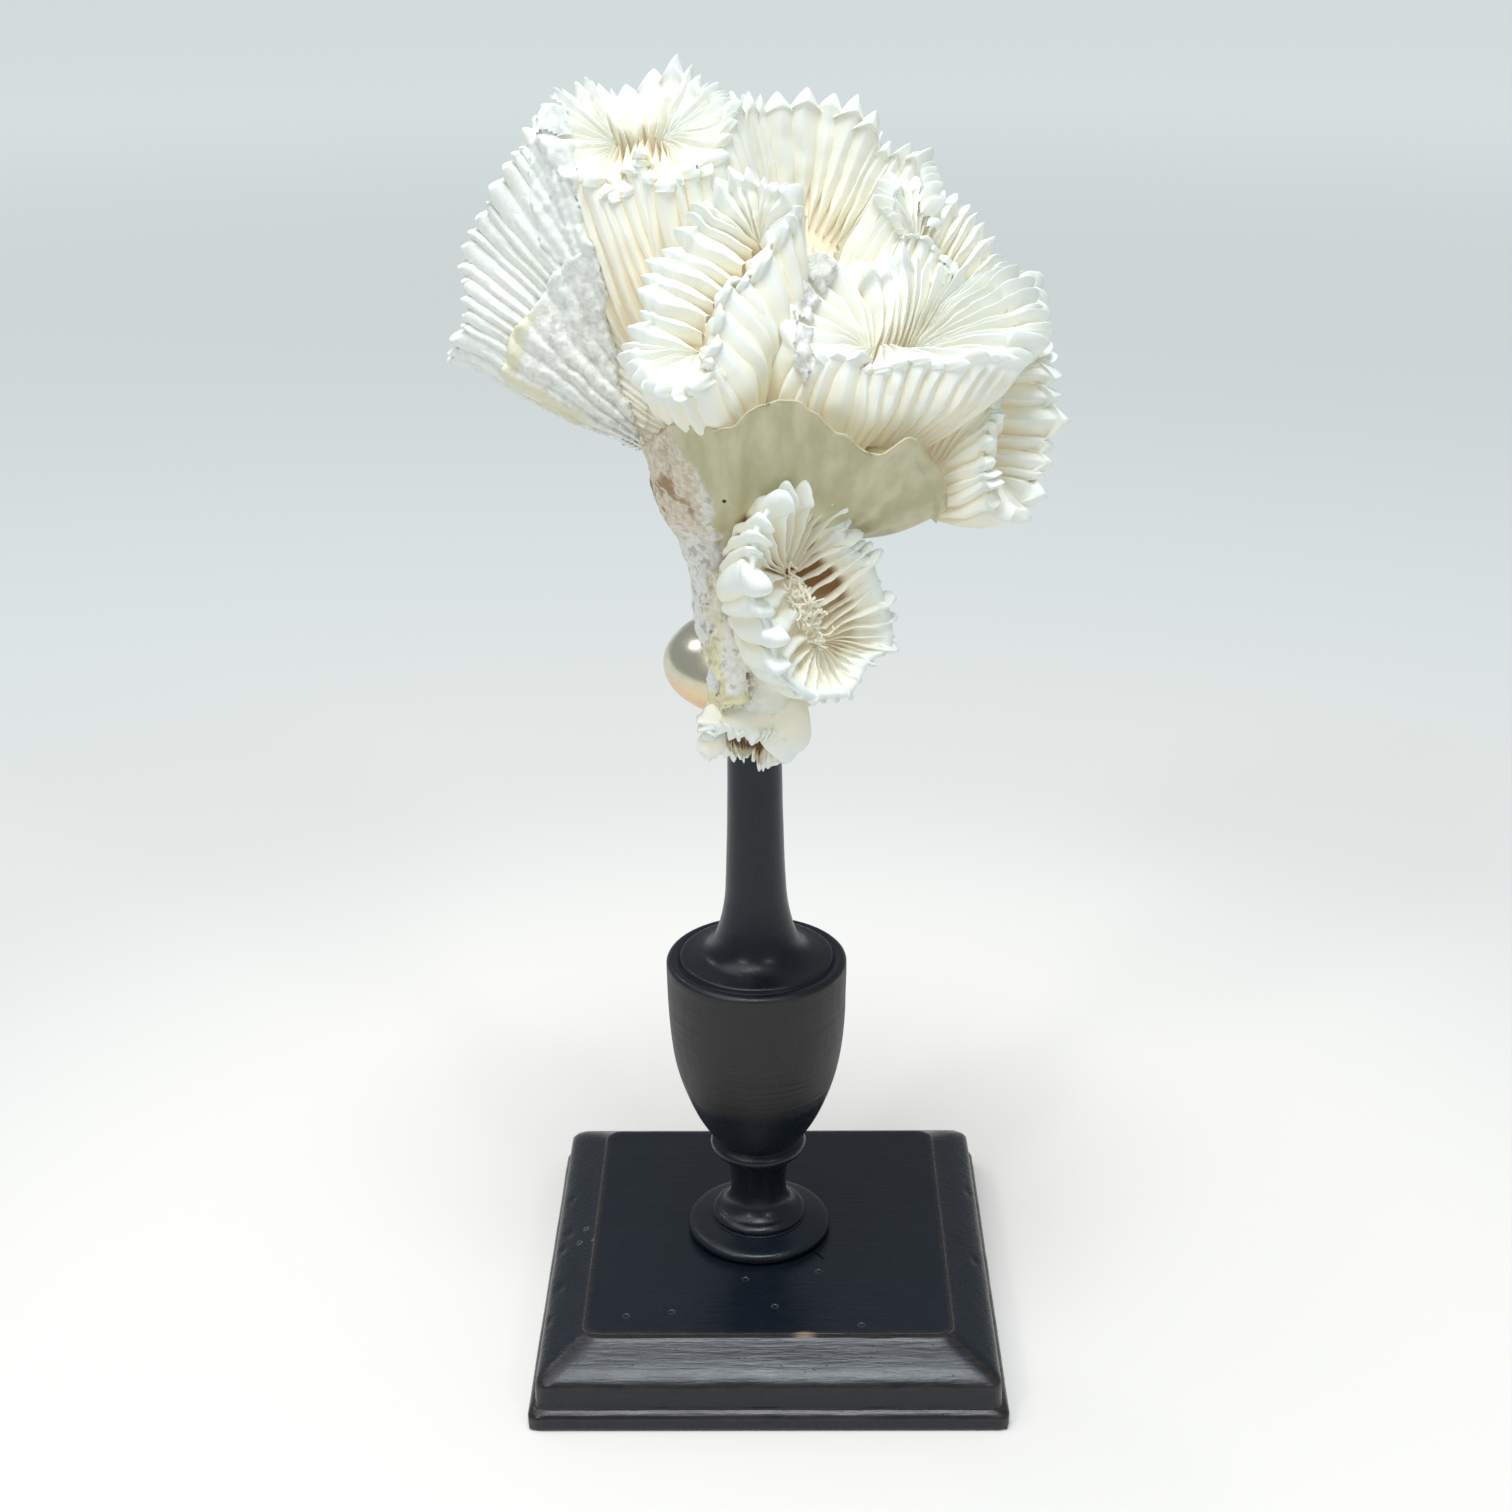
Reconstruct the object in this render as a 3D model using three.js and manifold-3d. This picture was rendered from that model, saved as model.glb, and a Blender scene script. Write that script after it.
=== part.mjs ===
// A flower coral on a stand of blackened wood.
// The stand is a moulded square plinth, a column turned in one piece and a flattened
// brass knop. The coral is one colony: a stalk that flares into a thin smooth sheath and
// forks into seven frilled heads, with one cup on its front and a small one at its foot.
// X runs to the right, Y away from the viewer, Z up; the origin is the middle of the
// plinth's underside.
import * as THREE from "three";
import { mergeVertices } from "three/addons/utils/BufferGeometryUtils.js";
import Module from "manifold-3d";

// Driving dimensions, in millimetres
const PLINTH_SIDE = 110;
const PLINTH_HEIGHT = 17.8;
const PLINTH_CORNER = 1.6;
const COLUMN_X = -2.4;
const COLUMN_FOOT_RADIUS = 17.3;
const URN_RADIUS = 21.1;
const URN_TOP = 93.3;
const STEM_RADIUS = 6.2;
const STEM_TOP = 155;
const COLUMN_SIDES = 16;
const KNOP_SIDES = 18;
const KNOP_RADIUS = 20.1;
const KNOP_HALF_HEIGHT = 11.5;
const KNOP_CENTRE_Z = 166.5;
const GAP = 0.3;
const SLIVER = 0.03;
const MERGE_DISTANCE = 1e-3;

const wasm = await Module();
wasm.setup();

// Joining and cutting closed solids

function solidFrom(geometry) {
  const bare = geometry.clone();
  bare.deleteAttribute("normal");
  bare.deleteAttribute("uv");
  const merged = mergeVertices(bare, MERGE_DISTANCE);
  const triVerts = new Uint32Array(merged.index.array);
  const vertProperties = new Float32Array(merged.attributes.position.array);
  return new wasm.Manifold(new wasm.Mesh({ numProp: 3, vertProperties, triVerts }));
}

function geometryFrom(solid) {
  const mesh = solid.getMesh();
  const geometry = new THREE.BufferGeometry();
  geometry.setAttribute("position", new THREE.BufferAttribute(mesh.vertProperties, 3));
  geometry.setIndex(new THREE.BufferAttribute(mesh.triVerts, 1));
  return geometry;
}

// The main piece of a cut solid, without the chips and the slivers that hold them on
function mainPiece(solid) {
  const pieces = solidFrom(geometryFrom(solid.simplify(SLIVER))).decompose();
  return pieces.reduce((best, piece) => (piece.volume() > best.volume() ? piece : best));
}

// Rings of equal length joined into one closed skin, with a strip across each end
function skinOver(rings) {
  const count = rings[0].length;
  const index = [];
  for (let r = 0; r + 1 < rings.length; r++) {
    for (let k = 0; k < count; k++) {
      const next = (k + 1) % count;
      const a = r * count + k;
      const b = r * count + next;
      index.push(a, b, a + count, b, b + count, a + count);
    }
  }
  const last = (rings.length - 1) * count;
  for (let k = 0; k < count / 2; k++) {
    const near = (count - k) % count;
    const far = count - k - 1;
    if (k > 0) {
      index.push(k, near, k + 1, last + k, last + k + 1, last + near);
    }
    if (far > k + 1) {
      index.push(k + 1, near, far, last + k + 1, last + far, last + near);
    }
  }
  const geometry = new THREE.BufferGeometry().setFromPoints(rings.flat());
  geometry.setIndex(index);
  return geometry;
}

// A repeatable number from 0 to 1 for each rib or lump
function chance(step, seed) {
  const wave = Math.sin(step * 12.9898 + seed * 78.233) * 43758.5453;
  return wave - Math.floor(wave);
}

// Plinth: one moulding run round a square with slightly rounded corners

function squareRing(half, z, corner) {
  const ring = [];
  const arcSteps = 3;
  for (let quarter = 0; quarter < 4; quarter++) {
    const turn = (quarter * Math.PI) / 2;
    for (let step = 0; step <= arcSteps; step++) {
      const angle = (step / arcSteps) * (Math.PI / 2);
      const x = half - corner + corner * Math.cos(angle);
      const y = half - corner + corner * Math.sin(angle);
      ring.push(new THREE.Vector3(x, y, z).applyAxisAngle(new THREE.Vector3(0, 0, 1), turn));
    }
  }
  return ring;
}

function plinthGeometry() {
  const half = PLINTH_SIDE / 2;
  const footTop = 3.8;
  const bandHalf = half - 1.8;
  const bandTop = 10.2;
  const panelHalf = 42.6;
  const panelEdge = PLINTH_HEIGHT - 1.2;
  const moulding = new THREE.Path();
  moulding.moveTo(half, 0);
  moulding.lineTo(half, footTop);
  moulding.lineTo(half - 0.8, footTop + 0.7);
  moulding.lineTo(bandHalf, footTop + 1.1);
  moulding.lineTo(bandHalf, bandTop);
  const shoulder = bandTop + 3;
  moulding.bezierCurveTo(
    bandHalf - 0.1, shoulder, half - 6, shoulder, panelHalf + 0.9, panelEdge - 0.2,
  );
  moulding.lineTo(panelHalf + 0.2, panelEdge);
  moulding.lineTo(panelHalf, PLINTH_HEIGHT);
  const rings = [];
  for (const point of moulding.getPoints(7)) {
    const corner = PLINTH_CORNER + point.y * 0.1;
    rings.push(squareRing(point.x, point.y, corner));
  }
  return skinOver(rings);
}

// Column: foot disc, bead, neck, collar, urn and stem, turned in one piece.
// The outline runs up its half section, radius across and height up.

function columnGeometry() {
  const base = PLINTH_HEIGHT + GAP;
  const outline = new THREE.Path();
  outline.moveTo(0, base);
  outline.lineTo(COLUMN_FOOT_RADIUS - 0.6, base);
  outline.absarc(COLUMN_FOOT_RADIUS - 1.3, base + 1.5, 1.4, -1.1, 1.3, false);
  outline.quadraticCurveTo(12.6, base + 3.6, 11.4, base + 3.9);
  outline.lineTo(9.8, base + 4);
  outline.absarc(8.7, base + 5.4, 1.5, -0.9, 1.4, false);
  outline.quadraticCurveTo(6.6, 26.5, 6.6, 31);
  outline.quadraticCurveTo(6.7, 37.5, 9.3, 40.6);
  outline.absarc(9.6, 42.4, 1.9, -1.2, 1.3, false);
  outline.lineTo(10.6, 44.6);
  outline.bezierCurveTo(14.5, 50, 20.4, 60, URN_RADIUS - 0.3, 78);
  outline.lineTo(URN_RADIUS, URN_TOP - 2);
  outline.absarc(URN_RADIUS - 1.2, URN_TOP - 1.1, 1.2, 0, Math.PI / 2, false);
  outline.lineTo(18.4, URN_TOP - 0.6);
  outline.lineTo(17.6, URN_TOP + 0.4);
  outline.quadraticCurveTo(11, URN_TOP + 1.2, 9.2, 99.5);
  outline.quadraticCurveTo(7.1, 105.5, STEM_RADIUS + 0.7, 113.2);
  outline.lineTo(STEM_RADIUS + 0.1, 132.5);
  outline.lineTo(STEM_RADIUS - 0.2, STEM_TOP);
  outline.lineTo(0, STEM_TOP);
  const points = [];
  for (const point of outline.getPoints(2)) {
    const before = points[points.length - 1];
    const shortest = 0.05;
    if (!before || before.distanceTo(point) > shortest) points.push(point);
  }
  return new THREE.LatheGeometry(points, COLUMN_SIDES).rotateX(Math.PI / 2);
}

// Knop: a flattened ball with a flat seat under it; extra is added all round
function knopGeometry(extra) {
  const seat = GAP - KNOP_HALF_HEIGHT - extra;
  const points = [new THREE.Vector2(0, seat)];
  const steps = 9;
  for (let step = 1; step < steps; step++) {
    const angle = -Math.PI / 2 + (Math.PI * step) / steps;
    const radius = (KNOP_RADIUS + extra) * Math.cos(angle);
    const height = (KNOP_HALF_HEIGHT + extra) * Math.sin(angle);
    if (step === 1) points.push(new THREE.Vector2(radius * 0.8, seat));
    points.push(new THREE.Vector2(radius, height));
  }
  points.push(new THREE.Vector2(0, KNOP_HALF_HEIGHT + extra));
  const ball = new THREE.LatheGeometry(points, KNOP_SIDES).rotateX(Math.PI / 2);
  return ball.translate(COLUMN_X, 0, KNOP_CENTRE_Z);
}

// Trunk: the stalk, and the sheath that flares from it under the heads

const TRUNK_SIDES = 30;
const SHEATH_EDGE = 0.9;
const SHEATH_LIP = 1.5;
const SHEATH_FLARE = [
  { across: 0.3, up: 0.16 },
  { across: 0.66, up: 0.42 },
  { across: 1, up: 1 },
];
const TRUNK_HUB = { x: 4, y: -9, top: 223 };
const STALK_RINGS = [
  { x: -0.5, y: -22, z: 161.5, wide: 8, deep: 6 },
  { x: -1.5, y: -24, z: 166, wide: 10, deep: 8.5 },
  { x: -1.5, y: -22, z: 174, wide: 10.5, deep: 11 },
  { x: -2.8, y: -13.5, z: 182, wide: 12.6, deep: 12.5 },
  { x: -3.2, y: -12, z: 191, wide: 12.4, deep: 11.5 },
  { x: -4.8, y: -11, z: 199, wide: 13.6, deep: 12 },
];
const SHEATH_RIM = [
  [37.5, -20, 209], [37, -28, 209], [36.5, -33, 214.7], [33, -37, 222], [28.7, -41, 227],
  [22.9, -43, 224.6], [15, -44.5, 229], [7, -45, 235], [0, -45, 235], [-6.5, -44, 230],
  [-18, -38, 229], [-22.7, -28, 223], [-25.3, -12, 220], [-24, 2, 220], [-16, 12, 222],
  [-2, 17, 224], [14, 15, 222], [29, 4, 216], [36, -8, 211],
];

function trunkGeometry(extra) {
  const rim = SHEATH_RIM.map(([x, y, z]) => new THREE.Vector3(x, y, z));
  const rimCurve = new THREE.CatmullRomCurve3(rim, true, "centripetal");
  const hub = new THREE.Vector3(TRUNK_HUB.x, TRUNK_HUB.y, 0);
  const rings = STALK_RINGS.map(() => []);
  const flare = [[], [], []];
  const shelf = [[], [], []];
  for (let k = 0; k < TRUNK_SIDES; k++) {
    const edge = rimCurve.getPointAt(1 - k / TRUNK_SIDES);
    const out = edge.clone().sub(hub).setZ(0).normalize();
    const angle = Math.atan2(out.y, out.x);
    const lump = 0.8 * Math.sin(3 * angle + 0.6) + 0.5 * chance(k, 3);
    STALK_RINGS.forEach((ring, r) => {
      const swell = extra + lump * (r % 2 ? 1 : -0.6);
      const x = ring.x + (ring.wide + swell) * Math.cos(angle);
      const y = ring.y + (ring.deep + swell) * Math.sin(angle);
      rings[r].push(new THREE.Vector3(x, y, ring.z - (r === 0 ? extra : 0)));
    });
    const neck = rings[STALK_RINGS.length - 1][k];
    SHEATH_FLARE.forEach(({ across, up }, r) => {
      const x = THREE.MathUtils.lerp(neck.x, edge.x + out.x * extra, across);
      const y = THREE.MathUtils.lerp(neck.y, edge.y + out.y * extra, across);
      const z = THREE.MathUtils.lerp(neck.z, edge.z - extra, up);
      flare[r].push(new THREE.Vector3(x, y, z));
    });
    const lip = edge.clone().addScaledVector(out, extra + 0.2);
    shelf[0].push(lip.setZ(edge.z + SHEATH_EDGE + extra));
    shelf[1].push(lip.clone().addScaledVector(out, -SHEATH_LIP));
    shelf[2].push(edge.clone().lerp(hub, 0.75).setZ(TRUNK_HUB.top + extra));
  }
  return skinOver([...rings, ...flare, ...shelf]);
}

// Heads and cups: a wall lofted from a small root to a winding rim, pleated by the septa.
// Each septum is a rib down the outer wall, a tooth on the rim and a blade in the valley.
// Shares of the spread or depth are taken on a ridge and in the groove beside it.

const SHOULDER_SHARE = 0.66;
const ROOT_STRETCH = 0.3;
const FLOOR_SHARE = 0.14;
const RIDGE = { reach: 0.7, lift: 1, swell: 0.5, bladeShare: 0.52, bladeDown: 0.12 };
const GROOVE = { reach: -1.2, lift: -0.4, swell: -0.5, bladeShare: 0.78, bladeDown: 0.62 };

const HEADS = {
  coral_centre_head: {
    valley: [[-14, -37.5, 245], [-10, -32, 254], [-2, -24, 263.5]],
    faces: [-0.42, -0.66, 0.62], spread: 12.5, root: [-5, -22, 226], septa: 30,
    depth: 9, tooth: 3.2, rootWidth: 5, bulge: 2, seed: 1,
  },
  coral_right_head: {
    valley: [[18, -29, 248], [28, -27, 249], [43, -20, 245.5]],
    faces: [0.1, -0.34, 0.93], spread: 13.5, root: [15, -18, 220], septa: 30,
    depth: 9, tooth: 3.6, rootWidth: 9, bulge: 2, seed: 2,
  },
  coral_far_right_head: {
    valley: [[52.5, -18, 234], [54, -20, 225], [51, -24, 215]],
    faces: [0.75, -0.62, 0.15], spread: 10, root: [24, -17, 217], septa: 20,
    depth: 8, tooth: 3, rootWidth: 7.5, bulge: 0.5, seed: 3,
  },
  coral_right_back_head: {
    valley: [[31, -3, 262], [39, -4, 256.5], [46, -5, 247]],
    faces: [0.4, -0.4, 0.8], spread: 11.5, root: [20, -4, 219], septa: 22,
    depth: 9, tooth: 3.2, rootWidth: 11, bulge: 2, seed: 4,
  },
  coral_top_right_head: {
    valley: [[-1, 0, 274.5], [10, 3.5, 273], [20, 3, 267.5]],
    faces: [0.1, -0.6, 0.8], spread: 16, root: [6, 0, 221], septa: 26,
    depth: 11, tooth: 3.4, rootWidth: 14, bulge: 3, seed: 5,
  },
  coral_top_left_head: {
    valley: [[-32, -3, 284], [-24, -2, 286], [-17, -3, 285]],
    faces: [-0.1, -0.42, 0.9], spread: 12.5, root: [-9, -1, 222], septa: 26,
    depth: 9, tooth: 3.4, rootWidth: 12, bulge: 3, seed: 6,
  },
  coral_left_fan: {
    valley: [[-58, 2, 243], [-56, 3, 259], [-46, 3, 274]],
    faces: [-0.84, 0.22, 0.45], spread: 11, root: [-15, -6, 224], septa: 28,
    depth: 8, tooth: 3, rootWidth: 7, bulge: 2.5, seed: 7,
  },
  coral_front_cup: {
    valley: [[7, -39.5, 201], [9.8, -40.5, 195], [12.8, -39.5, 187.5]],
    faces: [0.56, -0.81, 0.17], spread: 14, root: [-1, -17, 187], septa: 30,
    depth: 10, tooth: 3.6, rootWidth: 8, bulge: 2.5, seed: 8,
  },
  coral_bottom_cup: {
    valley: [[-6.5, -30, 157.5], [-2.5, -31, 156.5], [1.5, -30, 156]],
    faces: [-0.2, -0.88, -0.42], spread: 5.5, root: [-1.5, -15, 163], septa: 12,
    depth: 5, tooth: 1.4, rootWidth: 7, bulge: 1.5, seed: 9,
  },
};

// The columns of points round a head: where each sits on its valley, and which way is out
function columnsRound(head, count) {
  const corners = head.valley.map((p) => new THREE.Vector3(...p));
  const line = new THREE.CatmullRomCurve3(corners);
  const opening = new THREE.Vector3(...head.faces).normalize();
  const length = line.getLength();
  const loop = 2 * length + 2 * Math.PI * head.spread;
  const columns = [];
  for (let k = 0; k < count; k++) {
    let way = ((k + 0.5) / count) * loop - (Math.PI * head.spread) / 2;
    let place;
    let turn;
    if (way < 0) {
      place = 0;
      turn = way / head.spread;
    } else if (way < length) {
      place = way / length;
      turn = 0;
    } else if (way < length + Math.PI * head.spread) {
      place = 1;
      turn = (way - length) / head.spread;
    } else if (way < 2 * length + Math.PI * head.spread) {
      place = 1 - (way - length - Math.PI * head.spread) / length;
      turn = Math.PI;
    } else {
      place = 0;
      turn = Math.PI + (way - 2 * length - Math.PI * head.spread) / head.spread;
    }
    const spine = line.getPointAt(place);
    const along = line.getTangentAt(place);
    along.addScaledVector(opening, -along.dot(opening)).normalize();
    const side = new THREE.Vector3().crossVectors(along, opening);
    const out = side.multiplyScalar(Math.cos(turn)).addScaledVector(along, Math.sin(turn));
    columns.push({ spine, out, angle: (k / count) * 2 * Math.PI });
  }
  return { columns, opening, middle: line.getPointAt(0.5) };
}

function headGeometry(head) {
  const { columns, opening, middle } = columnsRound(head, head.septa * 2);
  const root = new THREE.Vector3(...head.root);
  const rootRing = [];
  const wallRing = [];
  const rimRing = [];
  const bladeRing = [];
  const floorRing = [];
  columns.forEach(({ spine, out, angle }, k) => {
    const ridge = k % 2 === 0;
    const fold = ridge ? RIDGE : GROOVE;
    const size = 0.65 + 0.5 * chance(k, head.seed);
    const ruffle = 1 + 0.07 * Math.sin(3 * angle + head.seed) + 0.05 * Math.sin(7 * angle);
    const reach = head.spread * ruffle + fold.reach * (ridge ? size : 1);
    const lift = fold.lift * (ridge ? head.tooth * size : 1);
    const foot = root.clone().addScaledVector(out, head.rootWidth);
    foot.addScaledVector(spine.clone().sub(middle), ROOT_STRETCH);
    const rim = spine.clone().addScaledVector(out, reach).addScaledVector(opening, lift);
    const shoulder = foot.clone().lerp(rim, SHOULDER_SHARE);
    rootRing.push(foot);
    wallRing.push(shoulder.addScaledVector(out, head.bulge + fold.swell));
    rimRing.push(rim);
    const blade = spine.clone().addScaledVector(out, head.spread * fold.bladeShare);
    bladeRing.push(blade.addScaledVector(opening, -head.depth * fold.bladeDown));
    const floor = spine.clone().addScaledVector(out, head.spread * FLOOR_SHARE);
    floorRing.push(floor.addScaledVector(opening, -head.depth));
  });
  return skinOver([rootRing, wallRing, rimRing, bladeRing, floorRing]);
}

// The room that a head takes up, with a little clearance: no pleats, closed over the rim
const ROOM_SIDES = 24;
const ROOM_REACH = 2.2;
const ROOM_ROOT = 1.1;
const ROOM_SWELL = 0.9;

function roomGeometry(head) {
  const { columns, opening, middle } = columnsRound(head, ROOM_SIDES);
  const root = new THREE.Vector3(...head.root);
  const rings = [[], [], [], []];
  for (const { spine, out, angle } of columns) {
    const ruffle = 1.05 + 0.07 * Math.sin(3 * angle + head.seed);
    const reach = head.spread * ruffle + ROOM_REACH;
    const foot = root.clone().addScaledVector(out, head.rootWidth + ROOM_ROOT);
    foot.addScaledVector(spine.clone().sub(middle), ROOT_STRETCH);
    foot.addScaledVector(opening, -1);
    const rim = spine.clone().addScaledVector(out, reach);
    const shoulder = foot.clone().lerp(rim, SHOULDER_SHARE);
    rings[0].push(foot);
    rings[1].push(shoulder.addScaledVector(out, head.bulge + ROOM_SWELL));
    rings[2].push(rim);
    rings[3].push(rim.clone().addScaledVector(opening, head.tooth * 1.2 + 0.5));
  }
  return skinOver(rings);
}

// Materials

const blackWood = new THREE.MeshStandardMaterial({
  color: 0x20242a, roughness: 0.42, metalness: 0,
});
const brass = new THREE.MeshStandardMaterial({
  color: 0xc9a063, roughness: 0.22, metalness: 1,
});
const coralWhite = new THREE.MeshStandardMaterial({
  color: 0xf3efe2, roughness: 0.7, metalness: 0,
});
const sheathOlive = new THREE.MeshStandardMaterial({
  color: 0xb4ac86, roughness: 0.6, metalness: 0,
});

// Assembly: the stand, then the coral grown up from its trunk

const coralOnStand = new THREE.Group();

function place(parent, name, geometry, material) {
  const mesh = new THREE.Mesh(geometry, material.clone());
  mesh.name = name;
  parent.add(mesh);
  return mesh;
}

const stand = new THREE.Group();
coralOnStand.add(stand);
place(stand, "stand_plinth", plinthGeometry(), blackWood);
place(stand, "stand_column", columnGeometry(), blackWood).position.x = COLUMN_X;
place(stand, "brass_knop", knopGeometry(0), brass);

const coral = new THREE.Group();
coralOnStand.add(coral);
const stemRoom = solidFrom(
  new THREE.CylinderGeometry(STEM_RADIUS + 0.6, STEM_RADIUS + 0.6, 60, 24)
    .rotateX(Math.PI / 2)
    .translate(COLUMN_X, 0, STEM_TOP - 30),
);
const standRoom = solidFrom(knopGeometry(GAP)).add(stemRoom);
const trunk = mainPiece(solidFrom(trunkGeometry(0)).subtract(standRoom));
const rooms = [solidFrom(trunkGeometry(2 * GAP)), standRoom];
const grown = [];
for (const [name, head] of Object.entries(HEADS)) {
  let solid = solidFrom(headGeometry(head));
  for (const room of rooms) solid = solid.subtract(room);
  grown.push([name, mainPiece(solid)]);
  rooms.push(solidFrom(roomGeometry(head)));
}
place(coral, "coral_trunk", geometryFrom(trunk), sheathOlive);
for (const [name, solid] of grown) {
  place(coral, name, geometryFrom(solid), coralWhite);
}

export default coralOnStand;
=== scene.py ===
"""Flower coral standing on a turned column of blackened wood with a square moulded foot."""

import itertools
import math
from types import SimpleNamespace

import bpy
import numpy as np
from mathutils import Matrix, Vector
from mathutils.bvhtree import BVHTree


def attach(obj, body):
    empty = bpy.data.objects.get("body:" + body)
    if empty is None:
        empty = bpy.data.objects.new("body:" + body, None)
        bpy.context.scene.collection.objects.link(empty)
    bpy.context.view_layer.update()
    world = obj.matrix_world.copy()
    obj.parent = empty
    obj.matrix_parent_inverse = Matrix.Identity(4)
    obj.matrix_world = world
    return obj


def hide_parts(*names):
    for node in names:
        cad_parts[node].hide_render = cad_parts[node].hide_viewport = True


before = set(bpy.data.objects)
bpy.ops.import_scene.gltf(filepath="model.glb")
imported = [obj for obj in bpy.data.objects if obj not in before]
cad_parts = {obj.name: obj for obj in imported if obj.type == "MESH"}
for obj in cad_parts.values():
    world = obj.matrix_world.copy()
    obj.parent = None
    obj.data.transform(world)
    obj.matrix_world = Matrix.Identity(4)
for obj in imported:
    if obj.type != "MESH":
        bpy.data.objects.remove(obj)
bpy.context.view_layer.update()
MM = 0.001

# Plinth: a square foot of fine-grained wood, moulded round its four sides and stained
# black under wax. It stands on its flat underside. Its edges are rubbed brown, and small
# pits and knocks show on its top and its moulding.


def smooth_line(points, count, closed=False):
    """count points along a smooth line through the given ones, which may be whole rings."""
    points = np.asarray(points, float)
    last = len(points) if closed else len(points) - 1
    place = np.linspace(0, last, count, endpoint=not closed)
    start = np.minimum(place.astype(int), last - 1)
    share = (place - start).reshape(-1, *[1] * (points.ndim - 1))
    if closed:
        padded = np.concatenate([points[-1:], points, points[:2]])
    else:
        before, after = 2 * points[:1] - points[1:2], 2 * points[-1:] - points[-2:-1]
        padded = np.concatenate([before, points, after])
    a, b, c, d = (padded[start + k] for k in range(4))
    curve = (c - a) * share + (2 * a - 5 * b + 4 * c - d) * share**2
    return b + 0.5 * (curve + (3 * b - a - 3 * c + d) * share**3)


def grain(points, size, seed=0):
    """Smooth chance heights from -1 to 1 at the points, with lumps about size wide."""
    place = np.asarray(points, float) / size + seed * 17.31
    cell = np.floor(place)
    share = place - cell
    share = share * share * (3 - 2 * share)
    total = 0
    for corner in itertools.product((0, 1), repeat=3):
        mixed = np.sin((cell + corner) @ (127.1, 311.7, 74.7)) * 43758.5453
        weight = np.prod(np.where(corner, share, 1 - share), axis=-1)
        total = total + weight * (mixed - np.floor(mixed))
    return 2 * total - 1


def ring_faces(rows, columns, closed=True):
    """The four-sided faces of a grid of points, whose rows are rings where closed."""
    across = columns if closed else columns - 1
    r, c = np.meshgrid(np.arange(rows - 1), np.arange(across), indexing="ij")
    a, b = r * columns + c, r * columns + (c + 1) % columns
    return np.stack([a, b, b + columns, a + columns], -1).reshape(-1, 4)


def end_caps(rows, columns):
    """The faces that close the first and the last ring of such a grid."""
    ring = np.arange(columns)[None]
    return [ring[:, ::-1], ring + (rows - 1) * columns]


def ramp(values):
    """The values, kept from 0 to 1."""
    return np.clip(values, 0, 1)


def add_object(name, data):
    """A new object in the scene, made of a mesh, a lamp or a camera."""
    made = bpy.data.objects.new(name, data)
    bpy.context.scene.collection.objects.link(made)
    return made


def make_piece(name, points, face_groups, slot, finish, replaced, **fields):
    """A mesh from points in millimetres, carried by the stand, with fields on its points."""
    mesh = bpy.data.meshes.new(name)
    corners = np.concatenate([g.ravel() for g in face_groups]).astype(np.int32)
    totals = np.concatenate([np.full(len(g), g.shape[1]) for g in face_groups])
    mesh.vertices.add(len(points))
    mesh.vertices.foreach_set("co", (np.asarray(points, float) * MM).ravel())
    mesh.loops.add(len(corners))
    mesh.loops.foreach_set("vertex_index", corners)
    mesh.polygons.add(len(totals))
    mesh.polygons.foreach_set("loop_start", np.cumsum(totals) - totals)
    mesh.polygons.foreach_set("loop_total", totals)
    mesh.update(calc_edges=True)
    mesh.validate()
    for field, values in fields.items():
        layer = mesh.attributes.new(field, "FLOAT", "POINT")
        layer.data.foreach_set("value", np.asarray(values, np.float32).ravel())
    mesh.shade_smooth()
    mesh.materials.append(finish)
    piece = add_object(name, mesh)
    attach(piece, "root")
    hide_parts(replaced)


class Wire:
    """A number running over the surface; sums and products of wires add Math nodes."""

    def __init__(self, finish, socket):
        self.finish, self.socket = finish, socket

    def maths(self, operation, *terms):
        sockets = dict(enumerate(terms))
        return self.finish.node("ShaderNodeMath", {"operation": operation}, sockets)["Value"]

    def __add__(self, other):
        return self.maths("ADD", self, other)

    def __sub__(self, other):
        return self.maths("SUBTRACT", self, other)

    def __rsub__(self, other):
        return self.maths("SUBTRACT", other, self)

    def __mul__(self, other):
        return self.maths("MULTIPLY", self, other)

    __radd__, __rmul__ = __add__, __mul__

    def between(self, low, high, soft=True):
        """0 at low and 1 at high, and no further either way."""
        settings = {"interpolation_type": "SMOOTHSTEP" if soft else "LINEAR"}
        sockets = {"Value": self, "From Min": low, "From Max": high}
        return self.finish.node("ShaderNodeMapRange", settings, sockets)["Result"]


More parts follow.
